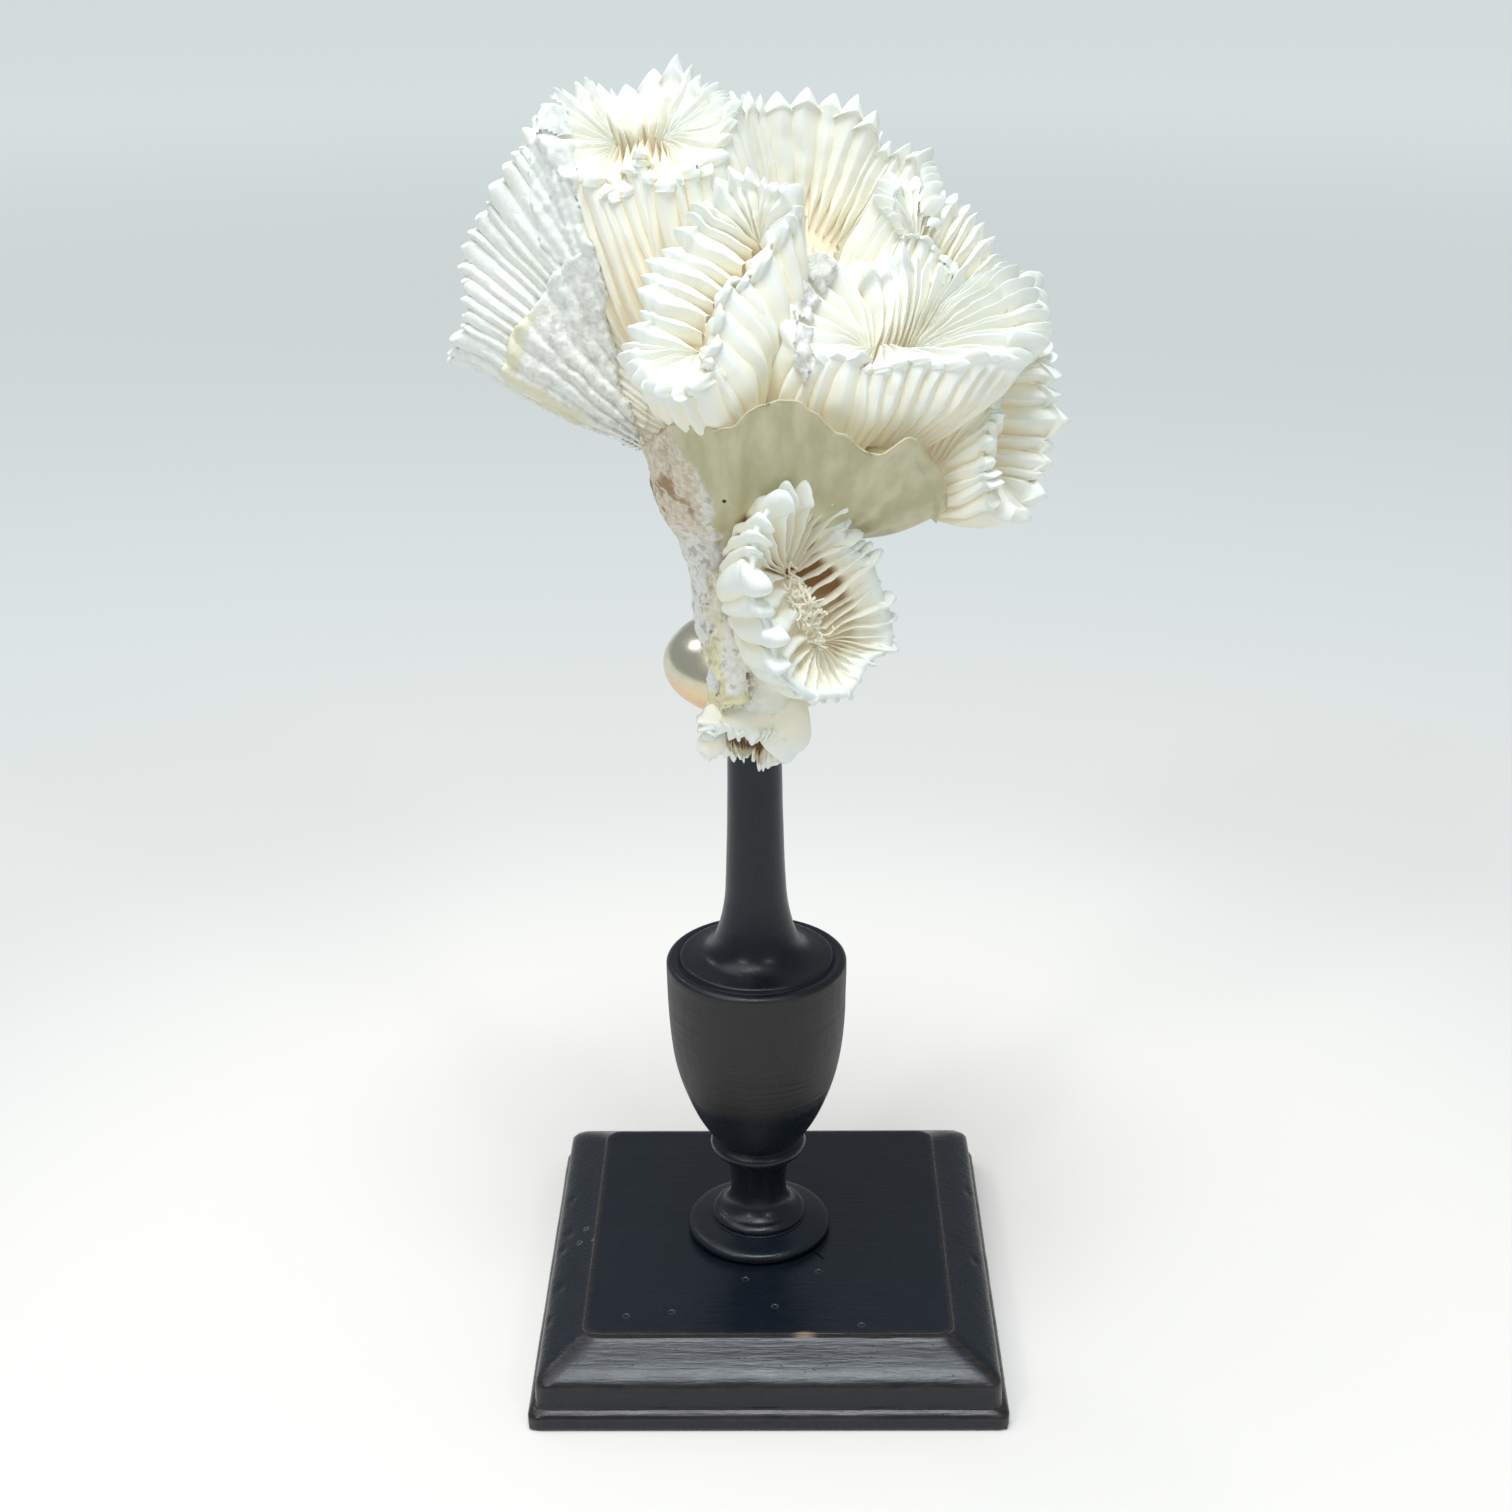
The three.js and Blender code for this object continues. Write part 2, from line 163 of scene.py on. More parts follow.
class Finish:
    """One material under construction, with its Principled shader."""

    def __init__(self, name, **constants):
        self.material = bpy.data.materials.new(name)
        self.material.use_nodes = True
        self.tree = self.material.node_tree
        self.shader = self.tree.nodes["Principled BSDF"]
        for socket, value in constants.items():
            self.shader.inputs[socket.replace("_", " ")].default_value = value

    def node(self, kind, settings, sockets):
        """Adds a node: its settings first, then values or wires for its sockets."""
        made = self.tree.nodes.new(kind)
        for key, value in settings.items():
            setattr(made, key, value)
        for key, value in sockets.items():
            if isinstance(value, Wire):
                self.tree.links.new(value.socket, made.inputs[key])
            else:
                made.inputs[key].default_value = value
        return {out.name: Wire(self, out) for out in made.outputs if out.enabled}

    def field(self, name):
        return self.node("ShaderNodeAttribute", {"attribute_name": name}, {})["Fac"]

    def place(self, across=(1, 1, 1)):
        """Points in the frame, in millimetres, stretched by the three numbers."""
        sockets = {0: self.node("ShaderNodeTexCoord", {}, {})["Object"], 1: [x / MM for x in across]}
        return self.node("ShaderNodeVectorMath", {"operation": "MULTIPLY"}, sockets)["Vector"]

    def distance(self, spot, across=(1, 1, 1)):
        """How far each point is from spot, in millimetres."""
        sockets = {0: self.place(across), 1: spot}
        return self.node("ShaderNodeVectorMath", {"operation": "DISTANCE"}, sockets)["Value"]

    def noise(self, size, across=(1, 1, 1), detail=4, rough=0.55):
        """Cloudy noise from 0 to 1 with lumps about size millimetres wide."""
        texture = {"Scale": 1 / size, "Detail": detail, "Roughness": rough}
        return self.node("ShaderNodeTexNoise", {}, {"Vector": self.place(across), **texture})["Fac"]

    def mix(self, share, first, second):
        """A colour between two others, by a number or wire from 0 to 1."""
        colours = [c if isinstance(c, Wire) else (*c, 1) for c in (first, second)]
        sockets = {0: share, 6: colours[0], 7: colours[1]}
        return self.node("ShaderNodeMix", {"data_type": "RGBA"}, sockets)["Result"]

    def feed(self, **wires):
        """Runs wires into the shader's sockets, named with _ for a space."""
        for socket, wire in wires.items():
            self.tree.links.new(wire.socket, self.shader.inputs[socket.replace("_", " ")])
        return self.material

    def bump(self, height, depth):
        """A normal from a height that is 0 to 1 over depth millimetres."""
        sockets = {"Height": height, "Distance": depth * MM, "Strength": 1}
        return self.node("ShaderNodeBump", {}, sockets)["Normal"]


def blackened_wood(name, across, dullness, furrow, rings=0, pitted=()):
    """Black stain and wax over wood whose grain runs the way across is smallest."""
    wood = Finish(name, Specular_IOR_Level=0.42)
    fibre = wood.noise(1.1, across, detail=5, rough=0.6)
    cloud = wood.noise(9, detail=3)
    rubbed = (wood.field("worn") * (0.35 + wood.noise(4) * 1.3)).between(0.3, 0.95)
    chipped = wood.field("chip")
    black = wood.mix(cloud, (0.003, 0.006, 0.011), (0.007, 0.011, 0.018))
    black = wood.mix(wood.field("matte") * 0.8, black, (0.019, 0.017, 0.016))
    brown = wood.mix(fibre.between(0.3, 0.7), (0.024, 0.017, 0.014), (0.055, 0.038, 0.029))
    colour = wood.mix(rubbed * 0.5, black, brown)
    colour = wood.mix(chipped, colour, (0.36, 0.27, 0.19))
    dull = (dullness + cloud * 0.1) + fibre * 0.22 + chipped * 0.3 + wood.field("matte") * 0.2
    speck = wood.noise(0.9, detail=1).between(0.74, 0.8)
    height = fibre * furrow + cloud * 0.6 - speck * 0.7
    if pitted:
        nearest = wood.distance(pitted[0])
        for spot in pitted[1:]:
            nearest = nearest.maths("MINIMUM", nearest, wood.distance(spot))
        height = height - nearest.between(0.9, 0.3) * 2.5
        # Each pit gets a lighter bluish-grey rim: a painted highlight where light catches its edge.
        pit_rim_highlight = nearest.between(1, 0.75) * nearest.between(0.45, 0.7)
        colour = wood.mix(pit_rim_highlight, colour, (0.055, 0.06, 0.065))
    if rings:
        turned = wood.noise(1.6, (0.02, 0.02, 1), detail=3) * (0.25 + wood.field("matte"))
        height = height + turned * rings
    return wood.feed(Base_Color=colour, Roughness=dull, Normal=wood.bump(height, 0.16))


PLINTH_OUTLINE = [
    (54.2, 0), (54.8, 0.5), (54.9, 1.6), (54.9, 3.2), (54.5, 4), (53.9, 4.5), (53.3, 4.9),
    (53.2, 5.8), (53.2, 8.2), (53.15, 10), (52.8, 11.1), (51.9, 12), (50.2, 13.1),
    (47.8, 14.3), (45.4, 15.4), (43.7, 16.2), (43.1, 16.55), (42.75, 16.9), (42.65, 17.5),
    (42.3, 17.8), (38, 17.8), (30, 17.8), (18, 17.8), (6, 17.8),
]
PLINTH_PITS = [
    (-43.5, 26, 17.8), (-45.5, 2, 15.4), (-46.8, -3, 14.9), (-43.6, -4, 17), (-33, -36, 17.8),
    (-22.5, -34.5, 17.8), (1.5, -32.5, 17.8), (-5.5, -22, 17.8), (21.5, -39.5, 17.8), (12, -19, 17.8),
]
PLINTH_KNOCKS = [
    (-50.5, 18, 13, 1), (-49.8, 3, 13.2, 1.2), (-51, -3, 12.5, 1.1), (-50.3, -19, 13, 1.3),
    (-51.5, -31, 12, 1), (51, 22, 12.4, 1.1), (50.4, -8, 13, 1), (-34, -38, 17.8, 0.9),
    (-24, -36, 17.8, 0.8), (3, -33, 17.8, 0.7), (-6, -26, 17.8, 0.7), (24, -39, 17.8, 0.8),
    (10, -53.2, 8.5, 0.9), (-33, -53.2, 8, 0.9), (31, -53.2, 9.5, 0.8), (1, -53.2, 7, 0.8),
]

PLINTH_ROWS = 120
SIDE_POINTS = 64
TOP_LEVEL = 17.5
FRONT_CHIP, FRONT_CHIP_SIZE = (8.4, -42.9, 17.4), (2.2, 0.8, 0.6)

around = np.linspace(0, 1, SIDE_POINTS, endpoint=False)
side = np.tan((around - 0.5) * 1.35) / math.tan(0.675)
outline = smooth_line(PLINTH_OUTLINE, PLINTH_ROWS)
steps = np.diff(outline, axis=0, prepend=outline[:1] - (0, 1))
heading = np.unwrap(np.arctan2(steps[:, 1], steps[:, 0]))
turning = np.convolve(ramp(np.abs(np.gradient(heading)) * 9), [0.25, 0.5, 0.25], "same")
mitre = np.tile(ramp((np.abs(side) - 0.93) / 0.07), 4)
plinth_rings, worn_rings = [], []
for (half, height), turn in zip(outline, turning):
    corner = 1.5 + 0.12 * height
    near = np.maximum(np.abs(side * half) - (half - corner), 0) / corner
    x = half - corner * (1 - np.sqrt(ramp(1 - near**2 * 0.5))) * 1.2
    y = side * half * (1 - 0.25 * corner / half * near**2)
    for spin in np.arange(4) * math.pi / 2:
        turned = [x * math.cos(spin) - y * math.sin(spin), x * math.sin(spin) + y * math.cos(spin)]
        plinth_rings.append(np.column_stack([*turned, np.full(SIDE_POINTS, height)]))
    worn_rings.append(ramp(turn + mitre * 0.8 * (height < TOP_LEVEL)))
plinth_points = np.concatenate(plinth_rings)
worn = np.concatenate(worn_rings)
inward = -plinth_points / np.linalg.norm(plinth_points + (0, 0, 20), axis=1, keepdims=True)
dent = np.zeros(len(plinth_points))
for x, y, z, wide in PLINTH_KNOCKS:
    away = np.linalg.norm(plinth_points - (x, y, z), axis=1) / wide
    dent += 0.5 * np.exp(-(away**2))
chip = ramp(1.5 - np.linalg.norm((plinth_points - FRONT_CHIP) / FRONT_CHIP_SIZE, axis=1))
dent += 0.1 * worn * (grain(plinth_points, 5) + 0.3)
dent = dent * (plinth_points[:, 2] > 1) + 0.35 * chip
plinth_wood = blackened_wood("plinth_blackened_wood", (0.1, 1, 1), 0.12, 0.65, pitted=PLINTH_PITS)
make_piece(
    "plinth", plinth_points + inward * dent[:, None],
    [ring_faces(PLINTH_ROWS, 4 * SIDE_POINTS), *end_caps(PLINTH_ROWS, 4 * SIDE_POINTS)],
    "blackened_wood", plinth_wood, "stand_plinth", worn=worn, chip=chip, matte=0 * worn,
)

# Column: one piece of the same wood, turned on a lathe to a foot disc, a bead, a neck, a
# collar, an urn with a grooved rim and a slender stem. It is pegged and glued into the
# plinth. The turning marks still show round the urn.

COLUMN_X = -2.4
COLUMN_OUTLINE = [
    (2, 18), (14.6, 18), (16.4, 18.1), (17.2, 18.8), (17.35, 19.6), (16.9, 20.4),
    (15.8, 20.9), (14.2, 21.3), (12.6, 21.7), (11.6, 21.95), (11.2, 22), (11.1, 22.4),
    (11.3, 22.9), (11.1, 23.6), (10.3, 24.2), (9.2, 24.7), (8.1, 25.6), (7.2, 27),
    (6.75, 29), (6.65, 31.5), (6.85, 34.5), (7.5, 37.5), (8.6, 39.8), (9.7, 40.6),
    (10.8, 41.1), (11.4, 41.9), (11.5, 42.6), (11.2, 43.4), (10.5, 44), (10.2, 44.3),
    (10.7, 44.9), (12.1, 47.2), (14.6, 51.6), (16.9, 57), (18.9, 63.4), (20.1, 70),
    (20.75, 77.5), (21, 85), (21.1, 90.8), (21, 92.2), (20.3, 92.9), (19.4, 93),
    (18.6, 92.8), (18.2, 92.6), (18, 93), (17.5, 93.7), (15.2, 94.1), (12.6, 94.9),
    (10.7, 96.6), (9.4, 99.3), (8.2, 103.3), (7.3, 108.3), (6.9, 113.6), (6.6, 121),
    (6.35, 132), (6.15, 144), (6, 155), (5.5, 155.1), (1, 155.1),
]
URN_MATT_FROM, URN_TOP = 58, 93


def turned_rings(outline, count, sides, middle_x):
    """Points, faces and edge wear of a turned piece, from its half section."""
    profile = smooth_line(outline, count)
    angles = np.linspace(0, math.tau, sides, endpoint=False)
    across, height = profile[:, :1], np.repeat(profile[:, 1:], sides, 1)
    rings = np.stack([middle_x + across * np.cos(angles), across * np.sin(angles), height], -1)
    headings = np.unwrap(np.arctan2(*np.gradient(profile, axis=0).T[::-1]))
    turn = ramp(np.abs(np.gradient(headings)) * 3)
    faces = [ring_faces(count, sides), *end_caps(count, sides)]
    return rings.reshape(-1, 3), faces, np.repeat(turn, sides)


column_points, column_faces, column_worn = turned_rings(COLUMN_OUTLINE, 300, 144, COLUMN_X)
outward = (column_points - (COLUMN_X, 0, 0)) * (1, 1, 0)
outward /= np.maximum(np.linalg.norm(outward, axis=1, keepdims=True), 1)
column_points = column_points + outward * 0.05 * grain(column_points, 6)[:, None]
urn_height = column_points[:, 2] + 2.5 * grain(column_points, 9, 3)
matte = ramp((urn_height - URN_MATT_FROM) / 4) * ramp((URN_TOP - column_points[:, 2]) / 1.5)
column_wood = blackened_wood("column_blackened_wood", (1, 1, 0.12), 0.14, 0.2, rings=1.3)
make_piece(
    "turned_column", column_points, column_faces, "blackened_wood", column_wood,
    "stand_column", worn=column_worn * 0.6, chip=0 * column_worn, matte=matte,
)

# Knop: a flattened ball of polished brass on top of the stem. It was spun and polished,
# and it has gone slightly dull. The coral's stalk rests against its front.

KNOP_RADIUS, KNOP_HALF_HEIGHT, KNOP_Z = 20, 11.4, 166.5
brass = Finish("knop_polished_brass", Metallic=0.95, Specular_IOR_Level=0.5)
tarnish = brass.noise(7, detail=5).between(0.42, 0.72)
scratches = brass.noise(0.5, (0.06, 0.06, 1), detail=3)
# The brass is paler towards the top and deeper orange towards the bottom: a painted reflection, laid into
# the metal's colour by height.
upward = brass.node("ShaderNodeSeparateXYZ", {}, {0: brass.place()})["Z"].between(160, 170)
painted_reflection_tone = brass.mix(upward, (0.66, 0.37, 0.16), (0.9, 0.86, 0.68))
knop_brass = brass.feed(
    Base_Color=brass.mix(tarnish * 0.5, painted_reflection_tone, (0.72, 0.62, 0.42)),
    Roughness=0.2 + tarnish * 0.12 + scratches * 0.05,
    Normal=brass.bump(scratches, 0.008),
)
swing = np.linspace(-1.47, math.pi / 2 - 0.02, 60)
knop_outline = np.column_stack([KNOP_RADIUS * np.cos(swing), KNOP_Z + KNOP_HALF_HEIGHT * np.sin(swing)])
knop_points, knop_faces, _ = turned_rings(knop_outline, 90, 128, COLUMN_X)
make_piece("brass_ball", knop_points, knop_faces, "brass", knop_brass, "brass_knop")

# Trunk: the colony's stalk, rough and crusted on its left side, which flares into a thin
# smooth sheath with a wavy rim. All of it is limy skeleton, grown in layers. It stands
# against the knop and carries the heads.

TRUNK_SIDES = 320
SKIN_ROWS = 110
HUB = (4, -9)
SHELF_HEIGHT = 222.5
PIN_HOLE = (-7.4, 0, 213.9)
STALK = [
    (-0.5, -22, 161.5, 8, 6), (-1.5, -24, 166, 10, 8.5), (-1.5, -22, 174, 10.5, 11),
    (-2.8, -13.5, 182, 12.6, 12.5), (-3.2, -12, 191, 12.4, 11.5), (-4.8, -11, 199, 13.6, 12),
]
SHEATH_RIM = [
    (37.5, -20, 209), (37, -28, 209), (36.5, -33, 214.7), (33, -37, 222), (28.7, -41, 227),
    (22.9, -43, 224.6), (15, -44.5, 229), (7, -45, 235), (0, -45, 235), (-6.5, -44, 230),
    (-18, -38, 229), (-22.7, -28, 223), (-25.3, -12, 220), (-24, 2, 220), (-16, 12, 222),
    (-2, 17, 224), (14, 15, 222), (29, 4, 216), (36, -8, 211),
]
FLAKY_OUTLINE = [
    (-11.4, 193.9), (-7.9, 193), (-6.5, 190.7), (-5.5, 188.1), (-3.1, 182.9), (-2.6, 177.4),
    (-3.6, 173.8), (-3.5, 169.6), (-7.4, 167.9), (-8.7, 164.7), (-13.1, 163.8), (-12.2, 168.8),
    (-9, 172.1), (-12.5, 174.8), (-12.9, 176.5), (-11.6, 180.1), (-10.7, 182.5), (-12.7, 185.5),
    (-11, 188.5), (-11.8, 191.6),
]
CRUST_STEP = 0.45
# The skeleton's white is the tip colour and its brown stain the brown; the ivory is partly the skeleton's
# own cream and partly painted shade, and the gold is painted shade in grooves and hollows.
CORAL_TIP = (0.87, 0.9, 0.86)
CORAL_IVORY_AND_SHADE = (0.86, 0.84, 0.72)
CORAL_GOLD_SHADE = (0.82, 0.74, 0.56)
CORAL_BROWN = (0.27, 0.135, 0.05)


def unit(vectors):
    return vectors / np.maximum(np.linalg.norm(vectors, axis=-1, keepdims=True), 1e-9)


def even_ring(points, count):
    """count points evenly spaced round a closed smooth line through the given ones."""
    fine = smooth_line(points, 1200, closed=True)
    steps = np.linalg.norm(np.diff(fine, axis=0, append=fine[:1]), axis=1)
    way = np.concatenate([[0], np.cumsum(steps)])
    place = np.linspace(0, way[-1], count, endpoint=False)
    looped = np.concatenate([fine, fine[:1]])
    return np.stack([np.interp(place, way, looped[:, k]) for k in range(3)], -1)


def crust_over(points, faces, outline, thick, curl, seed, ridges=0):
    """A ragged crust on a surface's front, inside an outline of x and z points."""
    under = BVHTree.FromPolygons(points.tolist(), faces.tolist())
    outline = smooth_line(outline, 90, closed=True)
    low, high = outline.min(0) - 1.5, outline.max(0) + 1.5
    x, z = np.meshgrid(*(np.arange(low[k], high[k], CRUST_STEP) for k in (0, 1)))
    within, near = np.zeros(x.shape, bool), np.full(x.shape, 1e9)
    for (ax, az), (bx, bz) in zip(outline, np.roll(outline, -1, 0)):
        wide, tall = bx - ax, bz - az
        within ^= ((az > z) != (bz > z)) & (x < wide * (z - az) / (tall + 1e-12) + ax)
        along = ramp(((x - ax) * wide + (z - az) * tall) / (wide**2 + tall**2))
        near = np.minimum(near, np.hypot(x - ax - along * wide, z - az - along * tall))
    flat = np.stack([x, 0 * x, z], -1)
    margin = np.where(within, near, -near) + 0.8 * grain(flat, 3, seed) + 0.4 * grain(flat, 1, seed + 1)
    ground = np.full(x.shape, np.nan)
    for spot in zip(*np.nonzero(margin > -0.9)):
        place = under.ray_cast((x[spot], -90, z[spot]), (0, 1, 0))[0]
        ground[spot] = place.y if place else np.nan
    for _ in range(10 if ridges else 0):
        beside = [np.roll(ground, way, axis) for way in (1, -1) for axis in (0, 1)]
        level = np.mean([np.where(np.isnan(b), ground, b) for b in beside], 0)
        ground = np.where(np.isnan(ground), ground, level)
    height = np.clip(margin / 0.5, -1, 1) * 0.5 * thick + curl * np.exp(-((margin / 0.8) ** 2))
    height += (0.4 * grain(flat, 2.2, seed + 2) + 0.22 * grain(flat, 0.9, seed + 3)) * thick
    fanning = np.arctan2(z - 214, x + 18) + 0.02 * grain(flat, 6, seed + 4)
    height += ridges * np.abs(np.cos(25 * fanning + 0.8 * grain(flat, 5, seed + 5)))
    height += 0.5 * thick - 1.2 * (margin < -0.4)
    crust = np.stack([x, ground - height * 0.95, z + height * 0.3], -1).reshape(-1, 3)
    cells = ring_faces(*x.shape, closed=False)
    depths = crust[cells][:, :, 1]
    whole = ~np.isnan(depths).any(1)
    cells = cells[whole][np.ptp(depths[whole], axis=1) < 3]
    used, cells = np.unique(cells, return_inverse=True)
    return crust[used], cells.reshape(-1, 4), margin.ravel()[used]


rim = even_ring(SHEATH_RIM[::-1], TRUNK_SIDES)
rim_out = unit(rim[:, :2] - HUB)
angle = np.arctan2(rim_out[:, 1], rim_out[:, 0])
controls = []
for x, y, z, wide, deep in STALK:
    ring = [x + wide * np.cos(angle), y + deep * np.sin(angle), np.full(TRUNK_SIDES, z)]
    controls.append(np.stack(ring, -1))
neck = controls[-1]
for across, up in ((0.3, 0.16), (0.66, 0.42), (1, 1)):
    controls.append(neck + (rim - neck) * (across, across, up))
lip_wave = 0.7 * grain(rim, 4, 3) + 0.5 * grain(rim, 1.7, 4)
lip = []
for outward, up in ((0.15, 0.2), (0.1, 0.4), (-0.1, 0.5), (-0.5, 0.35), (-0.8, -0.5), (-2, -3)):
    lip.append(rim + np.column_stack([rim_out * outward, up + lip_wave * (up > 0)]))
shelf = np.column_stack([rim[:, :2] + (HUB - rim[:, :2]) * 0.75, np.full(TRUNK_SIDES, SHELF_HEIGHT)])
skin = smooth_line(controls, SKIN_ROWS)
trunk_rows = np.concatenate([skin, lip, smooth_line([lip[-1], shelf], 6)[1:]])
rows = len(trunk_rows)
x, y, z = np.moveaxis(trunk_rows, -1, 0)
left_edge = np.interp(z, [160, 198, 212, 224, 232], [0, -7, -9, -14, -19])
ragged = 1.8 * grain(trunk_rows, 6, 5) + 0.9 * grain(trunk_rows, 2, 6)
stalk_part = ramp((left_edge - x + ragged) / 1.2)
stalk_part = np.maximum(stalk_part, ramp((202 - z + ragged) / 3))
stalk_part = np.maximum(stalk_part, ramp((y - 2 + 4 * ragged) / 5))
tan = stalk_part * ramp((z - 199 + 2 * ragged) / 5) * ramp((-10 - x) / 4)
bare = ramp((x + 2 + 0.7 * ragged) / 1.5) * ramp((192 - z) / 4)
bare = np.maximum(bare, ramp((169 - z + 0.5 * ragged) / 1.5)) * (y < -8)
bumps = ((4, 7, 0.55), (1.8, 8, 0.4), (0.8, 9, 0.22))
rough = sum(grain(trunk_rows, size, seed) * tall for size, seed, tall in bumps)
height_share = ramp(np.arange(rows) / (SKIN_ROWS - 1))[:, None]
fold = 0.25 * np.sin(angle * 34 + 2 * grain(trunk_rows, 20, 2)) * height_share * (1 - stalk_part)
raise_by = rough * stalk_part * 1.1 - 0.45 * stalk_part + fold
raise_by[SKIN_ROWS:] = raise_by[0] = 0
round_way = np.roll(trunk_rows, -1, 1) - np.roll(trunk_rows, 1, 1)
trunk_normal = unit(np.cross(round_way, np.gradient(trunk_rows, axis=0)))
trunk_points = (trunk_rows + trunk_normal * raise_by[..., None]).reshape(-1, 3)
# The first four lip rows carry a painted shadow line under the heads.
lip_painted_shadow = np.zeros((rows, TRUNK_SIDES))
lip_painted_shadow[SKIN_ROWS:SKIN_ROWS + 4] = 1

sheath = Finish("coral_olive_sheath", Specular_IOR_Level=0.45)
streak = sheath.noise(5, (1, 1, 0.22), detail=3)
patch = sheath.noise(9, detail=4)
fine = sheath.noise(1.2, detail=6, rough=0.65)
olive = sheath.mix(streak.between(0.3, 0.7), (0.5, 0.465, 0.28), (0.66, 0.61, 0.41))
olive = sheath.mix(patch.between(0.55, 0.75) * 0.6, olive, (0.7, 0.66, 0.48))
# Small darker specks: painted shade in pits that are not cut into the surface.
painted_pit_shade = sheath.noise(2.4, detail=3).between(0.36, 0.46)
grey = sheath.mix(fine.between(0.3, 0.7), (0.84, 0.83, 0.77), (0.98, 0.97, 0.93))
grey = sheath.mix(painted_pit_shade, (0.62, 0.6, 0.54), grey)
pink = sheath.mix(fine.between(0.35, 0.65), (0.66, 0.54, 0.39), (0.88, 0.82, 0.69))
pink = sheath.mix(patch.between(0.56, 0.64), pink, (0.42, 0.28, 0.16))
yellow = sheath.mix(patch.between(0.4, 0.6), (0.86, 0.81, 0.53), (0.93, 0.91, 0.78))
yellow = sheath.mix(painted_pit_shade, (0.7, 0.65, 0.46), yellow)
crusty = sheath.mix(sheath.field("tan"), grey, pink)
crusty = sheath.mix(sheath.field("flakes"), crusty, yellow)
crusty = sheath.mix(sheath.field("bare"), crusty, sheath.mix(patch, (0.84, 0.8, 0.68), CORAL_TIP))
colour = sheath.mix(sheath.field("stalk"), olive, crusty)
# The lip takes a dull olive tan: partly the lip's own tone, partly a painted shadow line under the heads.
colour = sheath.mix(sheath.field("lip"), colour, (0.6, 0.54, 0.38))
# A near-black spot where the pin hole is: painted shade, as no hole is cut into the surface.
painted_hole_shade = sheath.distance(PIN_HOLE, (1, 0, 1)).between(0.5, 0.35) * (1 - sheath.field("stalk"))
colour = sheath.mix(painted_hole_shade, colour, (0.01, 0.008, 0.006))
relief = sheath.field("stalk") * (fine * (1.2 - sheath.field("bare")) + patch) + streak * 0.12
sheath_skin = sheath.feed(
    Base_Color=colour,
    Roughness=0.42 + sheath.field("stalk") * 0.35 + fine * 0.1,
    Normal=sheath.bump(relief, 0.45),
)

trunk_skin = ring_faces(rows, TRUNK_SIDES)
flaking, flaking_faces, margin = crust_over(trunk_points, trunk_skin, FLAKY_OUTLINE, 2.4, 2, 21)
nothing = np.zeros(len(flaking))
left_or_low = np.maximum(ramp((-7 - flaking[:, 0]) / 2), ramp((173 - flaking[:, 2]) / 3))
yellow_part = ramp(3.2 * left_or_low + 0.5 - margin / 1.3 + 0.7 * grain(flaking, 2.5, 31))
make_piece(
    "trunk_and_sheath", np.concatenate([trunk_points, flaking]),
    [trunk_skin, *end_caps(rows, TRUNK_SIDES), flaking_faces + len(trunk_points)],
    "coral_sheath", sheath_skin, "coral_trunk",
    stalk=np.append(stalk_part, nothing + 1), tan=np.append(tan, nothing),
    bare=np.append(bare, nothing), flakes=np.append(0 * bare, yellow_part),
    lip=np.append(lip_painted_shadow, nothing),
)

# Heads and cups: each polyp's cup is a thin wall round a winding valley, crossed by blades
# that stand on it like pages. Every blade runs down the outside as a rib, rises over the
# rim as a rounded tooth and dips to the valley floor, a spongy strand in the two cups.

# Cup shapes: wall rows give across, up and a painted shade from 0, white, to 1, deepest; foot and crest
# rows give across and up of the blades' feet and edges.
PLEATED = dict(
    wall=[
        (0.97, -0.02, 0.2), (0.93, -0.1, 0.35), (0.88, -0.3, 0.5), (0.8, -0.6, 0.62),
        (0.62, -0.85, 0.75), (0.4, -0.97, 0.85), (0.2, -1, 0.95), (0.02, -1, 1),
    ],
    foot=[(0.88, -0.35), (0.82, -0.6), (0.66, -0.9), (0.4, -1.05), (0.1, -1.1)],
    crest=[(0.7, 0.14), (0.5, 0.02), (0.32, -0.14), (0.16, -0.34), (0.03, -0.56)],
)
FUNNEL = dict(
    wall=[
        (1.05, 0.2, 0), (1, 0.27, 0), (0.92, 0.12, 0.1), (0.78, -0.14, 0.35),
        (0.6, -0.36, 0.62), (0.42, -0.52, 0.95), (0.2, -0.58, 0.95), (0.02, -0.58, 0.8),
    ],
    foot=[(0.9, -0.12), (0.78, -0.3), (0.58, -0.58), (0.36, -0.72), (0.12, -0.75)],
    crest=[(0.84, 0.12), (0.68, -0.02), (0.5, -0.16), (0.32, -0.31), (0.12, -0.43)],
)
HOLLOW = dict(
    wall=[
        (0.95, -0.1, 0.3), (0.92, -0.3, 0.5), (0.88, -0.5, 0.6), (0.8, -0.75, 0.7),
        (0.62, -0.9, 0.75), (0.4, -1, 0.75), (0.2, -1, 0.7), (0.02, -1, 0.7),
    ],
    foot=[(0.95, -0.4), (0.9, -0.7), (0.75, -1), (0.4, -1.15), (0.1, -1.2)],
    crest=[(0.86, -0.05), (0.8, -0.4), (0.66, -0.78), (0.36, -0.95), (0.05, -1.05)],
)
BOWL = dict(
    wall=[
        (0.97, 0, 0.1), (0.93, -0.06, 0.15), (0.86, -0.2, 0.25), (0.76, -0.4, 0.4),
        (0.58, -0.7, 0.6), (0.38, -0.92, 0.7), (0.2, -1, 0.75), (0, -1.02, 0.8),
    ],
    foot=[(0.9, -0.12), (0.8, -0.34), (0.62, -0.66), (0.38, -0.9), (0.1, -1.02)],
    crest=[(0.84, 0.1), (0.7, -0.12), (0.52, -0.42), (0.3, -0.7), (0.05, -0.88)],
)
